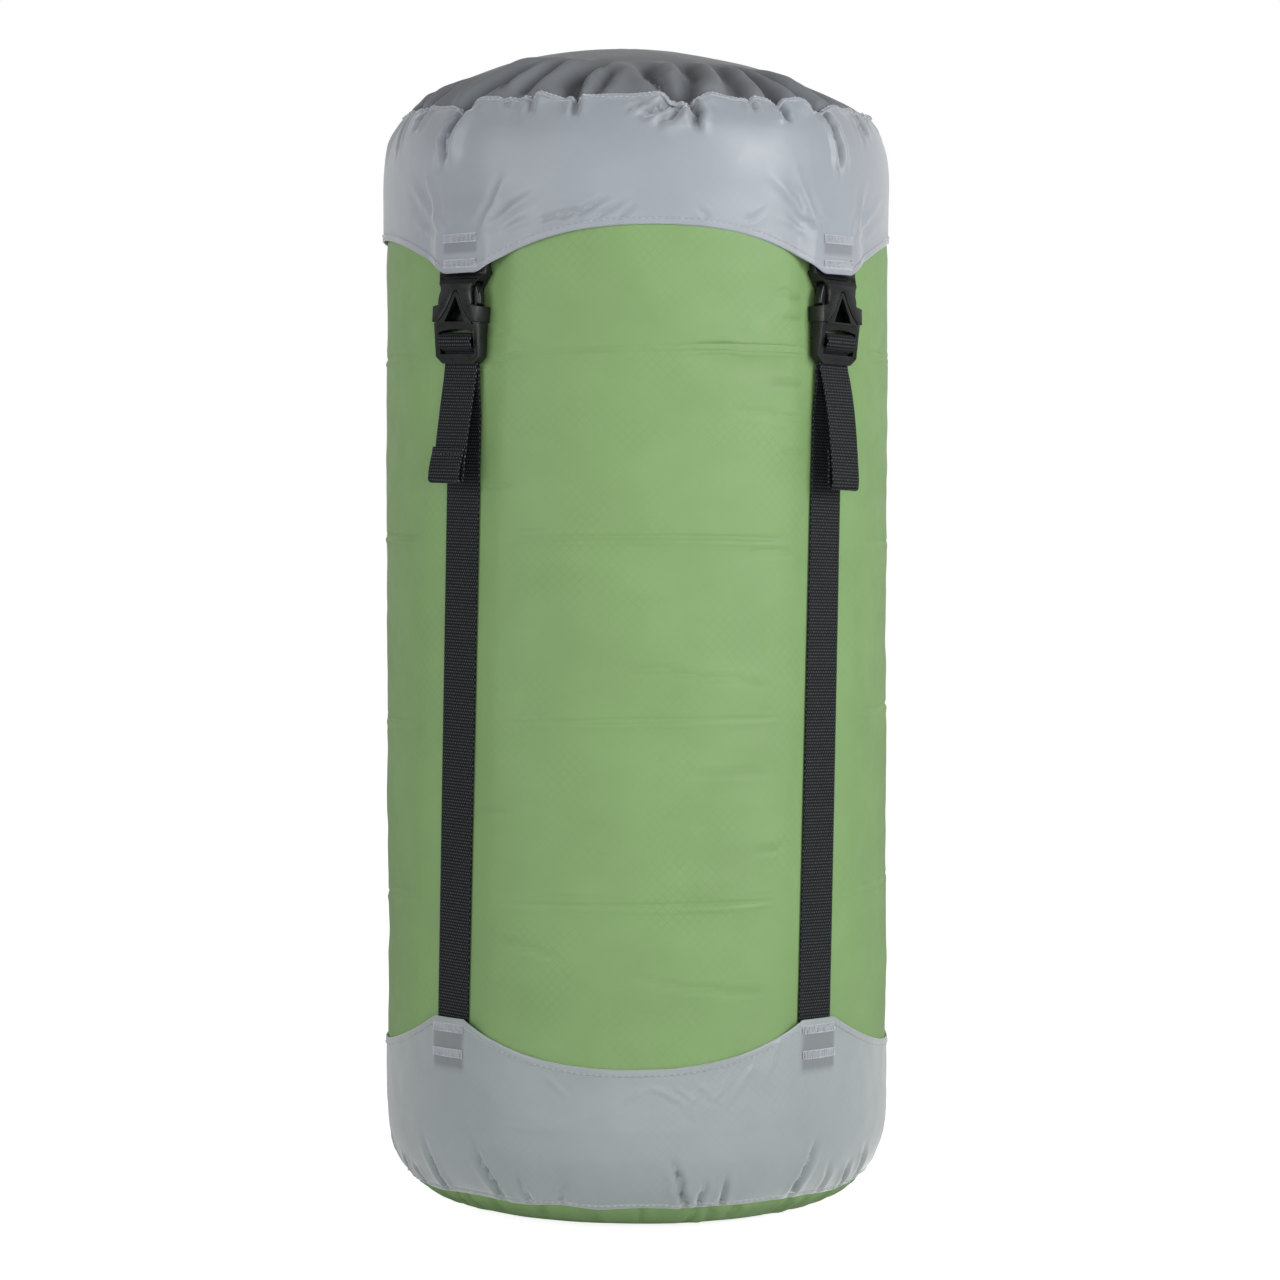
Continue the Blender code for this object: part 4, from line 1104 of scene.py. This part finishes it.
def shape_lid(cloth, seam_row):
    """Gathers, folds and hollows of the lid's fabric, kept off what lies under it."""
    relative = cloth.relative()[None, :] + TWIST_LID_DEG
    near_seam = np.exp(-((cloth.along[:, None] / 0.010) ** 2))
    for azimuth, depth, half in SEAM_DIPS:
        cloth.points[..., 2] -= depth * MM * near_seam * np.exp(-(((relative - azimuth) / half) ** 2))
    cloth.folds(LID_FOLDS, fade=0.7)
    for index in STRAPS:
        cloth.folds(STRAP_TIP_FOLDS, ahead=float(strap_azimuth(index, SKIRT_HEM_LOW_Z + 0.015)))
    cloth.folds(HEM_FOLDS)
    low = smooth_step(-0.004, -0.016, cloth.along)[:, None]
    high = smooth_step(0.004, 0.020, cloth.along)[:, None]
    cloth.lift += 0.0013 * low * noise_at(cloth.points, 0.036, 25, (1.0, 1.0, 1.5))
    cloth.lift += 0.0016 * high * noise_at(cloth.points, 0.042, 26)
    rough = np.random.RandomState(21)
    for azimuth in np.arange(66.0, 296.0, 8.5):
        at = azimuth + rough.uniform(-3, 3)
        cloth.fold([(at, 0.001), (at + rough.uniform(-4, 4), -rough.uniform(0.006, 0.028))],
                   rough.uniform(0.0012, 0.0022), rough.uniform(0.0006, 0.0024))
        at = azimuth + 4.0 + rough.uniform(-3, 3)
        cloth.fold([(at, 0.0), (at + rough.uniform(-12, 12), rough.uniform(0.018, 0.038))],
                   rough.uniform(0.0022, 0.0032), rough.uniform(0.0012, 0.0026))
    room = skirt_room(cloth, seam_row)
    cloth.lift = np.where(cloth.lift < 0, room * np.tanh(cloth.lift / room), cloth.lift)
    cloth.settle()


def skirt_room(cloth, seam_row):
    """How far each point of the skirt may go in before it meets the bag, a buckle or a strap's loop."""
    z = cloth.points[..., 2]
    bag = table([(0.4500, WALL_RADIUS)] + [(z + 0.001, r + 0.0008) for r, z in COLLAR_PROFILE], z)
    room = np.maximum(radius_of(cloth.points) - bag, 0.0002)
    tip = smooth_step(11.0, 7.5, np.abs(cloth.from_strap()))[None, :] * smooth_step(0.440, 0.434, z)
    room = room * (1 - tip) + 0.0001 * tip
    room[seam_row:] = 0.02
    return room


def seam_rows(cloth, row, up):
    """The raised, folded seam between skirt and top."""
    normals = cloth.normals()
    section = [(-0.0014, 0.0), (-0.0013, 0.0006), (-0.0008, 0.0009), (0.0, 0.0010), (0.0006, 0.0009),
               (0.0010, 0.0005), (0.0010, -0.0003), (0.0, -0.0006), (-0.0012, -0.0004)]
    wobble = 1.0 + 0.35 * noise_at(cloth.points[row], 0.0035, 9)
    return [cloth.points[row] + up * a + normals[row] * (h * wobble)[:, None] for a, h in section[::-1]]


def lid(side_finish, top_finish, thread, tack_thread):
    """The lid's top and skirt, the seam between them, and the skirt's hem, tacks and back seam."""
    slot = "grey_fabric"
    cloth, seam_row, pole = lid_cloth()
    cloth = cloth.refined(2)
    seam_row *= 2
    shape_lid(cloth, seam_row)
    skirt = cloth.part(0, seam_row)
    dome = cloth.part(seam_row, len(cloth.points) - 1)
    top = add_object("top_panel", dome.mesh("top_panel", pole=pole, plan=True), top_finish)
    side_mesh = skirt.mesh("skirt_panel")
    height = skirt.points[..., 2]
    patch = smooth_step(0.4262, 0.4270, height) * (1 - smooth_step(0.4335, 0.4343, height))
    mark(side_mesh, "under", patch * (1 - smooth_step(0.0092, 0.0104, skirt.across()[None, :])))
    side = add_object("skirt_panel", side_mesh, side_finish)
    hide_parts("lid_top")
    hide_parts("lid_skirt")
    hem = edge_band("skirt_hem", hem_rows(skirt, False, 0.00042, 0.25, 3), side_finish)
    line, normals = cloth.points[seam_row], cloth.normals()[seam_row]
    up = unit(cloth.points[seam_row + 1] - cloth.points[seam_row - 1])
    seam = edge_band("top_seam", seam_rows(cloth, seam_row, up), side_finish)
    hem_stitch = stitches("skirt_hem_stitches", *skirt.line(HEM_WIDTH * 0.92), thread, slot)
    seam_stitch = stitches("top_seam_stitches", line + up * 0.0003, normals, tack_thread, slot,
                           length=0.0017, gap=0.0003, radius=0.0003, height=0.0010)
    lower_stitch = stitches("top_seam_lower_stitches", line - up * 0.0011, normals, thread, slot,
                            gap=0.0005, height=0.0008)
    tacks = bar_tacks("lid_bar_tacks", skirt, (0.4325, 0.4215), tack_thread)
    back = felled_seam("skirt_back_seam", skirt, side_finish, thread, slot, 3, len(skirt.points) - 4)
    ride("lid", [top, side, hem, seam, hem_stitch, seam_stitch, lower_stitch, tacks, *back])


# --- Wall of the bag -------------------------------------------------------------------------

# Packing creases: height and tilt
WALL_CREASES = [(0.3836, 0.0012), (0.3022, -0.0008), (0.2235, 0.0030), (0.1445, 0.0030)]
# Folds: a path of azimuths and heights in mm, then width and depth in mm
WALL_FOLDS = [
    ([(33, 237.7), (10, 244), (-8, 249.6)], 1.1, 0.6),
    ([(33, 354.9), (20, 359)], 1, 0.5),
    ([(30, 106.2), (12, 108.5), (-6, 117.8)], 1.2, 0.5),
    ([(-32, 129), (-14, 120)], 1.2, 0.4),
    ([(30, 201), (8, 202.6)], 1.4, 0.3),
    ([(40, 406.5), (30, 409)], 1.1, 1),
    ([(40, 397.7), (32, 399)], 1, 0.8),
    ([(40.5, 384), (24, 384.6), (8, 385)], 1.1, 1.2),
    ([(40, 369.5), (28, 370)], 1.1, 0.8),
    ([(40, 354), (30, 356)], 1, 0.8),
    ([(40, 338.7), (32, 339.5)], 1.1, 0.7),
    ([(-37, 392), (-28, 390.5)], 1.1, 0.7),
    ([(-37, 379), (-24, 381)], 1.1, 0.6),
    ([(-38, 324), (-26, 325.5)], 1.2, 0.5),
    ([(36, 296), (24, 297.5)], 1.2, 0.6),
    ([(37, 170), (24, 166)], 1.2, 0.6),
    ([(-38, 185), (-27, 183)], 1.2, 0.5),
]


def wall_rows():
    """Heights of the wall's rows: close together at the packing creases, wider between them."""
    heights, z = [], WALL_FOOT_Z
    while z < WALL_TOP_Z:
        heights.append(z)
        near = min(abs(z - crease) for crease, _ in WALL_CREASES)
        z += 0.0009 if near < 0.0055 else 0.0021
    return np.array(heights + [WALL_TOP_Z])


def wall_radius(offset, z):
    """The wall's radius: round, but pressed flat under a strap or a buckle."""
    half = table(STRAP_BED_HALF, z)
    turn = np.radians(offset)
    free = smooth_step(half, half + 0.017, np.abs(WALL_RADIUS * np.tan(turn)))
    full = WALL_RADIUS - 0.0006 * smooth_step(0.425, 0.445, z)
    return np.minimum(table(STRAP_BED, z) / np.cos(turn) * (1 - free) + full * free, full)


def bag_wall(finish, thread):
    """The tube of ripstop between the bottom band and the gathered mouth, with its packing creases."""
    columns, heights = 384, wall_rows()
    relative = column_degrees(columns)
    offset = from_strap(relative)
    cloth = Cloth.turned(columns, [wall_radius(offset, z) for z in heights], heights, heights)
    points = cloth.points
    free = smooth_step(11.0, 19.0, np.abs(offset))[None, :]
    z = heights[:, None]
    turn = np.radians(relative[None, :] + twist_deg(z))
    for number, (crease, tilt) in enumerate(WALL_CREASES):
        away = (z - (crease + tilt * np.sin(turn) + 0.0009 * np.sin(3 * turn + number))) / 0.00085
        present = 0.35 + 0.65 * smooth_step(-0.35, 0.3, noise_at(points * (1, 1, 0), 0.045, 30 + number))
        groove = -np.exp(-(away**2)) + 0.55 * np.exp(-(((away + 2.6) / 1.6) ** 2))
        cloth.lift += free * 0.00075 * present * groove
        beside = smooth_step(0.0, 0.4, noise_at(points * (1, 1, 0), 0.030, 90 + number))
        for shift in (-3.4, 3.8):
            cloth.lift -= free * 0.00035 * beside * np.exp(-((away + shift + 0.8 * np.sin(7 * turn)) ** 2))
    cloth.lift += free * 0.00060 * noise_at(points, 0.060, 41)
    cloth.lift += free * 0.00050 * noise_at(points, 0.030, 42, (1.6, 1.6, 0.5))
    cloth.lift += free * 0.00020 * noise_at(points, 0.011, 43, (1.6, 1.6, 0.7))
    cloth.folds(WALL_FOLDS, fade=0.6)
    cloth.settle()
    wall = add_object("wall_panel", cloth.mesh("wall_panel", step=COARSE_LINING), finish)
    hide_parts("bag_wall")
    back = felled_seam("wall_seam", cloth, finish, thread, "green_ripstop", 0, len(cloth.points) - 1)
    for piece in (wall, *back):
        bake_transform(piece)


# --- Mouth -----------------------------------------------------------------------------------


def ring_of(turn):
    """The unit circle at these turns, for noise that goes once round."""
    return np.stack([np.sin(turn), np.cos(turn), np.zeros(turn.shape)], axis=-1)


def mouth_collar(finish):
    """The bag's mouth, under the lid: smooth at the shoulder, and drawn into pleats towards the cord."""
    columns = 512
    curve, reach = along_curve(COLLAR_PROFILE, 88)
    rim = wall_radius(from_strap(column_degrees(columns)), WALL_TOP_Z)
    cloth = Cloth.turned(columns, [np.minimum(r, rim) for r, _ in curve], [z for _, z in curve], reach)
    turn = np.radians(cloth.relative())[None, :]
    ring = ring_of(turn)
    drift = 2.6 * noise_at(ring, 0.35, 71) + 1.2 * noise_at(ring, 0.12, 72)
    radius = radius_of(cloth.points)
    pleat = 1.0 - 2.0 * np.abs(np.sin(0.5 * (MOUTH_PLEATS * turn + drift))) ** 0.8
    uneven = 0.75 + 0.35 * noise_at(ring, 0.25, 73)
    cloth.lift += -0.0017 * smooth_step(0.104, 0.040, radius) * uneven * pleat
    soft = noise_at(cloth.points, 0.016, 74, (1.0, 1.0, 2.0))
    cloth.lift += 0.0010 * smooth_step(0.1135, 0.100, radius) * soft
    cloth.settle()
    collar = add_object("collar", cloth.mesh("collar", step=COARSE_LINING), finish)
    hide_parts("mouth_collar")
    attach(collar, "harness")


def drawcord_hem(finish, thread):
    """The puckered channel round the mouth, open at the front where the cord comes out."""
    azimuth = np.linspace(HEM_OPENING_DEG, 360.0 - HEM_OPENING_DEG, 260)
    turn, around = np.radians(azimuth), circle(14)
    pucker = np.sin(HEM_PUCKERS * turn + 3.0 * noise_at(ring_of(turn), 0.3, 81))

    def rings(radius, depth):
        tube = radius * (1 + depth * pucker[:, None] * (0.6 + 0.4 * np.cos(around))[None, :])
        return polar(azimuth[:, None], MOUTH_RADIUS + tube * np.cos(around), HEM_Z + tube * np.sin(around))

    body = np.concatenate([rings(HEM_TUBE, 0.11), rings(HEM_BORE, 0.0)[::-1]])
    hem = add_object("hem_channel", solid("hem_channel", body, closed=True), finish)
    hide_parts("drawcord_hem")
    lean = math.radians(62.0)
    line = polar(azimuth, MOUTH_RADIUS + HEM_TUBE * math.cos(lean), HEM_Z + HEM_TUBE * math.sin(lean))
    out = polar(azimuth, math.cos(lean), math.sin(lean))
    sewn = stitches("hem_stitches", line, out, thread, "green_ripstop", height=0.0001, closed=False)
    ride("harness", [hem, sewn])


def round_cord(name, path, radius=CORD_RADIUS):
    """A round cord along a path, with small rings at its ends for sealed tips."""
    path, _ = smooth_path(path, 0.0006)
    girth = np.full(len(path), radius)
    girth[0] = girth[-1] = radius * 0.45
    girth[1] = girth[-2] = radius * 0.86
    return solid(name, tube(path, (0.05, 0.02, 1.0), girth, 12))


def drawcord(finish):
    """The captive cord: round the mouth, through the lock as two strands, tied together in a knot."""
    half, knot_y = CORD_SPACING / 2, LOCK_Y - 0.0108
    strand = [(half, knot_y, LOCK_Z), (half, LOCK_Y - 0.006, LOCK_Z), (half, LOCK_Y, LOCK_Z),
              (half, LOCK_Y + 0.0078, LOCK_Z), (0.0022, -0.0265, 0.5019), (0.0042, -0.0228, 0.4992)]
    first = HEM_OPENING_DEG - 4.0
    ring = polar(np.linspace(first, 360.0 - first, 41), MOUTH_RADIUS, HEM_Z).tolist()
    pieces = [round_cord("strands", strand + ring + [(-x, y, z) for x, y, z in strand[::-1]])]
    turns = np.linspace(0.0, 2 * math.pi, 90)
    swing = 0.0019 + 0.0009 * np.cos(3 * turns)
    knot = np.stack([swing * np.cos(2 * turns), knot_y + 0.0012 * np.sin(3 * turns),
                     LOCK_Z + swing * np.sin(2 * turns)], axis=1)
    pieces.append(round_cord("knot", knot, CORD_RADIUS * 0.95))
    for side in (1.0, -1.0):
        pieces.append(round_cord("end", [
            (0.0008 * side, knot_y, LOCK_Z), (0.0011 * side, knot_y - 0.004, LOCK_Z - 0.0004),
            (0.0019 * side, knot_y - 0.0088, LOCK_Z - 0.0019)]))
    made = bmesh.new()
    for mesh in pieces:
        made.from_mesh(mesh)
    joined = bpy.data.meshes.new("cord")
    made.to_mesh(joined)
    made.free()
    cord = add_object("cord", joined, finish)
    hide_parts("drawcord")
    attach(cord, "harness")


# --- Bottom band and base --------------------------------------------------------------------

# Folds: a path of azimuths and heights in mm, then width and depth in mm
BAND_FOLDS = [
    ([(-52.6, 12.2), (-53.5, 22), (-56.5, 40)], 1.6, 3),
    ([(-33.3, 12.2), (-35, 24), (-40.5, 42)], 1.6, 2.7),
    ([(-26, 12.2), (-28, 30)], 1.3, 1.05),
    ([(11.6, 12.2), (9.5, 24), (6.5, 38)], 1.5, 2.4),
    ([(14.6, 12.2), (15.5, 28)], 1.2, 1.35),
    ([(20, 12.2), (20.5, 30)], 1.2, 1.5),
    ([(39.3, 12.2), (41, 26), (44.5, 42)], 1.5, 2.7),
    ([(50, 12.2), (49, 30)], 1.3, 1.2),
    ([(-18, 12.2), (-16, 26)], 1.3, 0.9),
    ([(3, 70.5), (9, 64), (13.5, 50)], 0.9, -0.675),
    ([(8, 70.5), (14, 60)], 0.8, -0.6),
    ([(14.5, 71), (11.5, 62), (13, 52)], 0.9, -0.675),
    ([(20, 71.5), (16, 60)], 0.8, -0.525),
    ([(26, 74), (22, 64), (18, 54)], 1, -0.6),
    ([(12, 70), (19, 56)], 0.9, 0.45),
    ([(1, 70), (-4, 60)], 0.9, -0.45),
    ([(-20, 73), (-14, 63)], 1, -0.375),
    ([(33, 80), (28, 64)], 1.2, -0.525),
]


def band_cloth():
    """The band's fabric, and where a strap's sewn end lies under it."""
    columns, above = 512, 24
    offset = from_strap(column_degrees(columns))
    hem = BAND_HEM_LOW_Z + (BAND_HEM_HIGH_Z - BAND_HEM_LOW_Z) * scallop(offset)
    curve, _ = along_curve(BAND_PROFILE, 40)
    shoulder = curve[-1][1]
    radii = [r for r, _ in curve] + [SACK_RADIUS] * above
    heights = [h for _, h in curve] + [shoulder + (hem - shoulder) * i / above for i in range(1, above + 1)]
    cloth = Cloth.turned(columns, radii, heights, [float(np.mean(h)) for h in heights])
    points = cloth.points
    z = points[..., 2]
    covers = 1 - smooth_step(0.0092, 0.0112, cloth.across()[None, :])
    under = covers * smooth_step(STRAP_FOOT_Z - 0.0008, STRAP_FOOT_Z + 0.0006, z)
    cloth.folds(BAND_FOLDS, ridge=0.25)
    rough = np.random.RandomState(33)
    for azimuth in np.arange(60.0, 300.0, 9.0):
        at = azimuth + rough.uniform(-4, 4)
        cloth.fold([(at, 0.0122), (at + rough.uniform(-3, 3), 0.0122 + rough.uniform(0.010, 0.022))],
                   rough.uniform(0.0012, 0.0020), rough.uniform(0.0008, 0.0024))
    cloth.lift += 0.0005 * noise_at(points, 0.030, 51) + 0.0002 * noise_at(points, 0.010, 52)
    low_edge = np.exp(-(((z - BAND_PROFILE[0][1]) / 0.007) ** 2))
    z += 0.0011 * low_edge * noise_at(points * (1, 1, 0), 0.022, 53)
    cloth.lift += under * 0.0007 - 0.0009 * (1 - smooth_step(0.0, 0.006, np.abs(z - hem[None, :]))) * covers
    cloth.settle()
    radius = radius_of(cloth.points)
    over_wall = np.where(cloth.points[..., 2] > WALL_FOOT_Z - 0.002, WALL_RADIUS + 0.0005, 0.0) * (1 - covers)
    cloth.points[..., :2] *= (np.maximum(radius, over_wall) / radius)[..., None]
    return cloth, under


def bottom(band_finish, base_finish, thread, tack_thread):
    """The bottom band, sewn over the green base, both gathered along their seam."""
    slot = "grey_fabric"
    cloth, under = band_cloth()
    mesh = cloth.mesh("band_panel")
    mark(mesh, "under", under)
    band = add_object("band_panel", mesh, band_finish)
    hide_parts("bottom_band")
    upper = edge_band("band_hem", hem_rows(cloth, True, 0.00042, 0.25, 5), band_finish)
    lower = edge_band("band_seam", hem_rows(cloth, False, 0.00045, 0.3, 6), band_finish)
    upper_stitch = stitches("band_hem_stitches", *cloth.line(HEM_WIDTH * 0.92, top=True), thread, slot)
    lower_stitch = stitches("band_seam_stitches", *cloth.line(HEM_WIDTH * 0.8), thread, slot, height=0.0006)
    tacks = bar_tacks("band_bar_tacks", cloth, (0.0876, 0.0766), tack_thread)
    back = felled_seam("band_back_seam", cloth, band_finish, thread, slot, 2, len(cloth.points) - 3)
    sewn_on = [upper, lower, upper_stitch, lower_stitch, tacks, *back]
    ride("sack", [band, *sewn_on])
    base(base_finish, cloth.points.shape[1])


def base(finish, columns):
    """The round green base, curving up under the band's lower edge; its rows run out from the centre."""
    inside = np.linspace(0.068, 0.006, 16)[::-1]
    curve = along_curve(BASE_PROFILE, 24)[0][::-1]
    radii = np.concatenate([inside, curve[:, 0]])
    heights = np.concatenate([np.full(len(inside), 0.0002), np.maximum(curve[:, 1], 0.0002)])
    rows = [polar(column_degrees(columns) + TWIST_BASE_DEG, r, z) for r, z in zip(radii, heights)]
    cloth = Cloth(np.array(rows), radii)
    outer = smooth_step(0.070, 0.098, radii)[:, None]
    cloth.lift += 0.0005 * outer * noise_at(cloth.points, 0.020, 61)
    rough = np.random.RandomState(35)
    for azimuth in np.arange(-178.0, 178.0, 9.0):
        at = azimuth + rough.uniform(-4, 4)
        cloth.fold([(at, 0.1040), (at + rough.uniform(-3, 3), 0.092 - rough.uniform(0.0, 0.010))],
                   rough.uniform(0.0016, 0.0026), rough.uniform(0.0006, 0.0014))
    cloth.settle()
    cloth.points[..., 2] = np.maximum(cloth.points[..., 2], 0.0002)
    inwards = Cloth(cloth.points[::-1, ::-1].copy(), cloth.along[::-1])
    mesh = inwards.mesh("base_panel", pole=(0.0, 0.0, 0.0002), plan=True, step=COARSE_LINING)
    piece = add_object("base_panel", mesh, finish)
    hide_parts("bottom_panel")
    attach(piece, "sack")


# --- Materials -------------------------------------------------------------------------------


def shade(colour, factor):
    return tuple(min(c * factor, 1.0) for c in colour) + (1.0,)


def ripstop(name, colour, line_colour, roughness, sheen, gloss, grid=1.0, under=None):
    """Coated nylon: a fine plain weave crossed by thicker threads in a diamond grid."""
    f = Finish(name, colour, roughness, Sheen_Weight=sheen, Sheen_Roughness=0.45, Specular_IOR_Level=gloss)
    where, across, along = f.surface()
    one, two = (f.times(f.math(way, across, along), DIAGONAL) for way in ("ADD", "SUBTRACT"))
    lines = f.math("MAXIMUM", f.grid_line(one, RIPSTOP_PITCH, 0.16), f.grid_line(two, RIPSTOP_PITCH, 0.16))
    patches = f.ramp(f.noise(where, 22.0, 4.0, 0.7), 0.44, 0.66)
    lines = f.times(f.times(lines, patches), grid)
    weave = f.times(f.wave(one, WEAVE_PITCH), f.wave(two, WEAVE_PITCH))
    slub = f.noise(where, 1500.0, 2.0)
    crinkle = f.noise(where, 90.0, 4.0, 0.6)
    soft = f.noise(where, 26.0, 3.0)
    height = f.times(lines, 0.000035)
    for relief, depth in ((weave, 0.000006), (crinkle, 0.00011), (soft, 0.00035)):
        height = f.plus(height, f.times(relief, depth))
    f.bump(height)
    tone = f.mix(f.ramp(soft, 0.30, 0.70), shade(colour, 0.95), shade(colour, 1.05))
    tone = f.mix(f.times(slub, 0.10), tone, shade(colour, 0.70))
    tone = f.mix(f.times(lines, 0.26), tone, (*line_colour, 1.0))
    if under is not None:
        tone = f.mix(f.times(f.marked("under"), 0.60), tone, (*under, 1.0))
    # Painted shade: darkens the colour towards a quarter of itself in the grooves of folds, where shade falls
    tone = f.mix(f.times(f.marked("cavity"), 0.75), tone, shade(colour, 0.25))
    f.set(Base_Color=tone, Roughness=f.ramp(crinkle, 0.3, 0.7, roughness - 0.05, roughness + 0.06))
    return f.material


def webbing_finish():
    """Black filament webbing: ribs across, and warp threads on them, with fine dashes of painted highlight on
    their tops.
    """
    dark, light = (0.0022, 0.0032, 0.0040), (0.112, 0.129, 0.142)
    f = Finish("webbing", dark, 0.62, Sheen_Weight=0.04, Sheen_Roughness=0.35, Specular_IOR_Level=0.18)
    where, across, along = f.surface()
    rib = f.ramp(f.wave(along, RIB_PITCH, "COSINE"), -0.3, 0.95)
    row = f.math("FLOOR", f.plus(f.math("DIVIDE", along, RIB_PITCH), 0.5))
    shift = f.times(f.math("MODULO", row, 2.0), math.pi)
    warp = f.math("COSINE", f.plus(f.times(across, 2 * math.pi / WARP_PITCH), shift))
    top = f.times(rib, f.ramp(warp, -0.2, 0.9))
    fibre = f.noise(where, 5200.0, 2.0)
    f.bump(f.plus(f.times(top, 0.00009), f.times(fibre, 0.00003)))
    # Painted highlight: the tops of the ribs and warp threads are painted lighter, as the glints of light on
    # them
    painted_glint = f.times(top, f.ramp(f.noise(where, 900.0, 2.0), 0.3, 0.7, 0.45, 1.0))
    f.set(Base_Color=f.mix(painted_glint, (*dark, 1.0), (*light, 1.0)), Roughness=f.ramp(fibre, 0.3, 0.7, 0.55, 0.72))
    return f.material


def plastic_finish():
    """Moulded acetal with a faint spark-eroded texture."""
    f = Finish("moulded_plastic", (0.0050, 0.0055, 0.0060), 0.36, Specular_IOR_Level=0.42)
    where = f.object_place()
    f.bump(f.times(f.noise(where, 2600.0, 2.0), 0.00002))
    wear = f.noise(where, 120.0, 3.0)
    tone = f.mix(f.ramp(wear, 0.35, 0.65), (0.0040, 0.0045, 0.0050, 1.0), (0.0064, 0.0069, 0.0075, 1.0))
    f.set(Base_Color=tone, Roughness=f.ramp(wear, 0.3, 0.7, 0.24, 0.36))
    return f.material


def thread_finish(name, colour):
    """Polyester sewing thread, twisted."""
    f = Finish(name, colour, 0.50, Sheen_Weight=0.2, Specular_IOR_Level=0.45)
    twist = f.noise(f.object_place(), 2400.0, 2.0)
    f.bump(f.times(twist, 0.00006))
    f.set(Base_Color=f.mix(f.ramp(twist, 0.35, 0.65), shade(colour, 0.78), shade(colour, 1.12)))
    return f.material


def cord_finish():
    """Braided cord, black with a lighter fleck."""
    f = Finish("cord", (0.02, 0.022, 0.025), 0.6, Sheen_Weight=0.2)
    _, across, along = f.surface()
    braid = f.math("MAXIMUM", f.wave(f.plus(across, along), 0.0011), f.wave(f.minus(across, along), 0.0011))
    f.bump(f.times(braid, 0.00008))
    f.set(Base_Color=f.mix(f.ramp(braid, 0.2, 1.0), (0.010, 0.011, 0.013, 1.0), (0.045, 0.048, 0.052, 1.0)))
    return f.material


def steel_finish():
    f = Finish("spring_steel", (0.55, 0.55, 0.54), 0.30, Metallic=1.0)
    streak = f.noise(f.object_place(), 1800.0, 2.0)
    f.set(Roughness=f.ramp(streak, 0.3, 0.7, 0.24, 0.38))
    f.bump(f.times(streak, 0.00001))
    return f.material


def make_all():
    green = ripstop("ripstop_green", GREEN, (0.140, 0.235, 0.090), 0.50, 0.0, 0.30)
    grey = ripstop("grey_nylon", GREY, (0.22, 0.235, 0.26), 0.42, 0.95, 0.55, 0.35, under=(0.13, 0.14, 0.16))
    band_grey = ripstop("grey_nylon_band", BAND_GREY, (0.20, 0.23, 0.235), 0.36, 1.0, 0.55, 0.8,
                        under=(0.105, 0.115, 0.125))
    # The top panel's darker grey is painted shade on the same fabric as the skirt
    dark = ripstop("lid_nylon_painted_shade", TOP_GREY_PAINTED_SHADE, (0.12, 0.125, 0.14), 0.34, 0.06, 0.60, 0.3)
    grey_thread = thread_finish("thread_grey", (0.42, 0.44, 0.49))
    tack_thread = thread_finish("thread_tacks", (0.53, 0.55, 0.60))
    black_thread = thread_finish("thread_black", (0.020, 0.023, 0.026))
    black_web = webbing_finish()
    plastic = plastic_finish()
    lid(grey, dark, grey_thread, tack_thread)
    bag_wall(green, thread_finish("thread_green", (0.150, 0.235, 0.100)))
    bottom(band_grey, green, grey_thread, tack_thread)
    for index in STRAPS:
        strap_run(index, black_web)
        strap_tail(index, black_web, black_thread)
        lid_tab(index, black_web)
    haul_handle(black_web)
    buckles(plastic)
    mouth_collar(green)
    drawcord_hem(green, grey_thread)
    drawcord(cord_finish())
    cord_lock(plastic, steel_finish())


add_camera()
add_world()
add_floor()
area_light("front", (0.2, -2.4, 0.32), (0.0, 0.0, 0.24), (1.6, 1.0), 15.0)
area_light("key", (1.66, -1.18, 0.95), (0.0, 0.0, 0.31), (1.0, 1.3), 34.5)
area_light("fill", (-1.65, -1.25, 0.50), (0.0, 0.0, 0.26), (1.0, 1.6), 19.5)
bpy.context.scene.view_settings.view_transform = "Standard"
make_all()
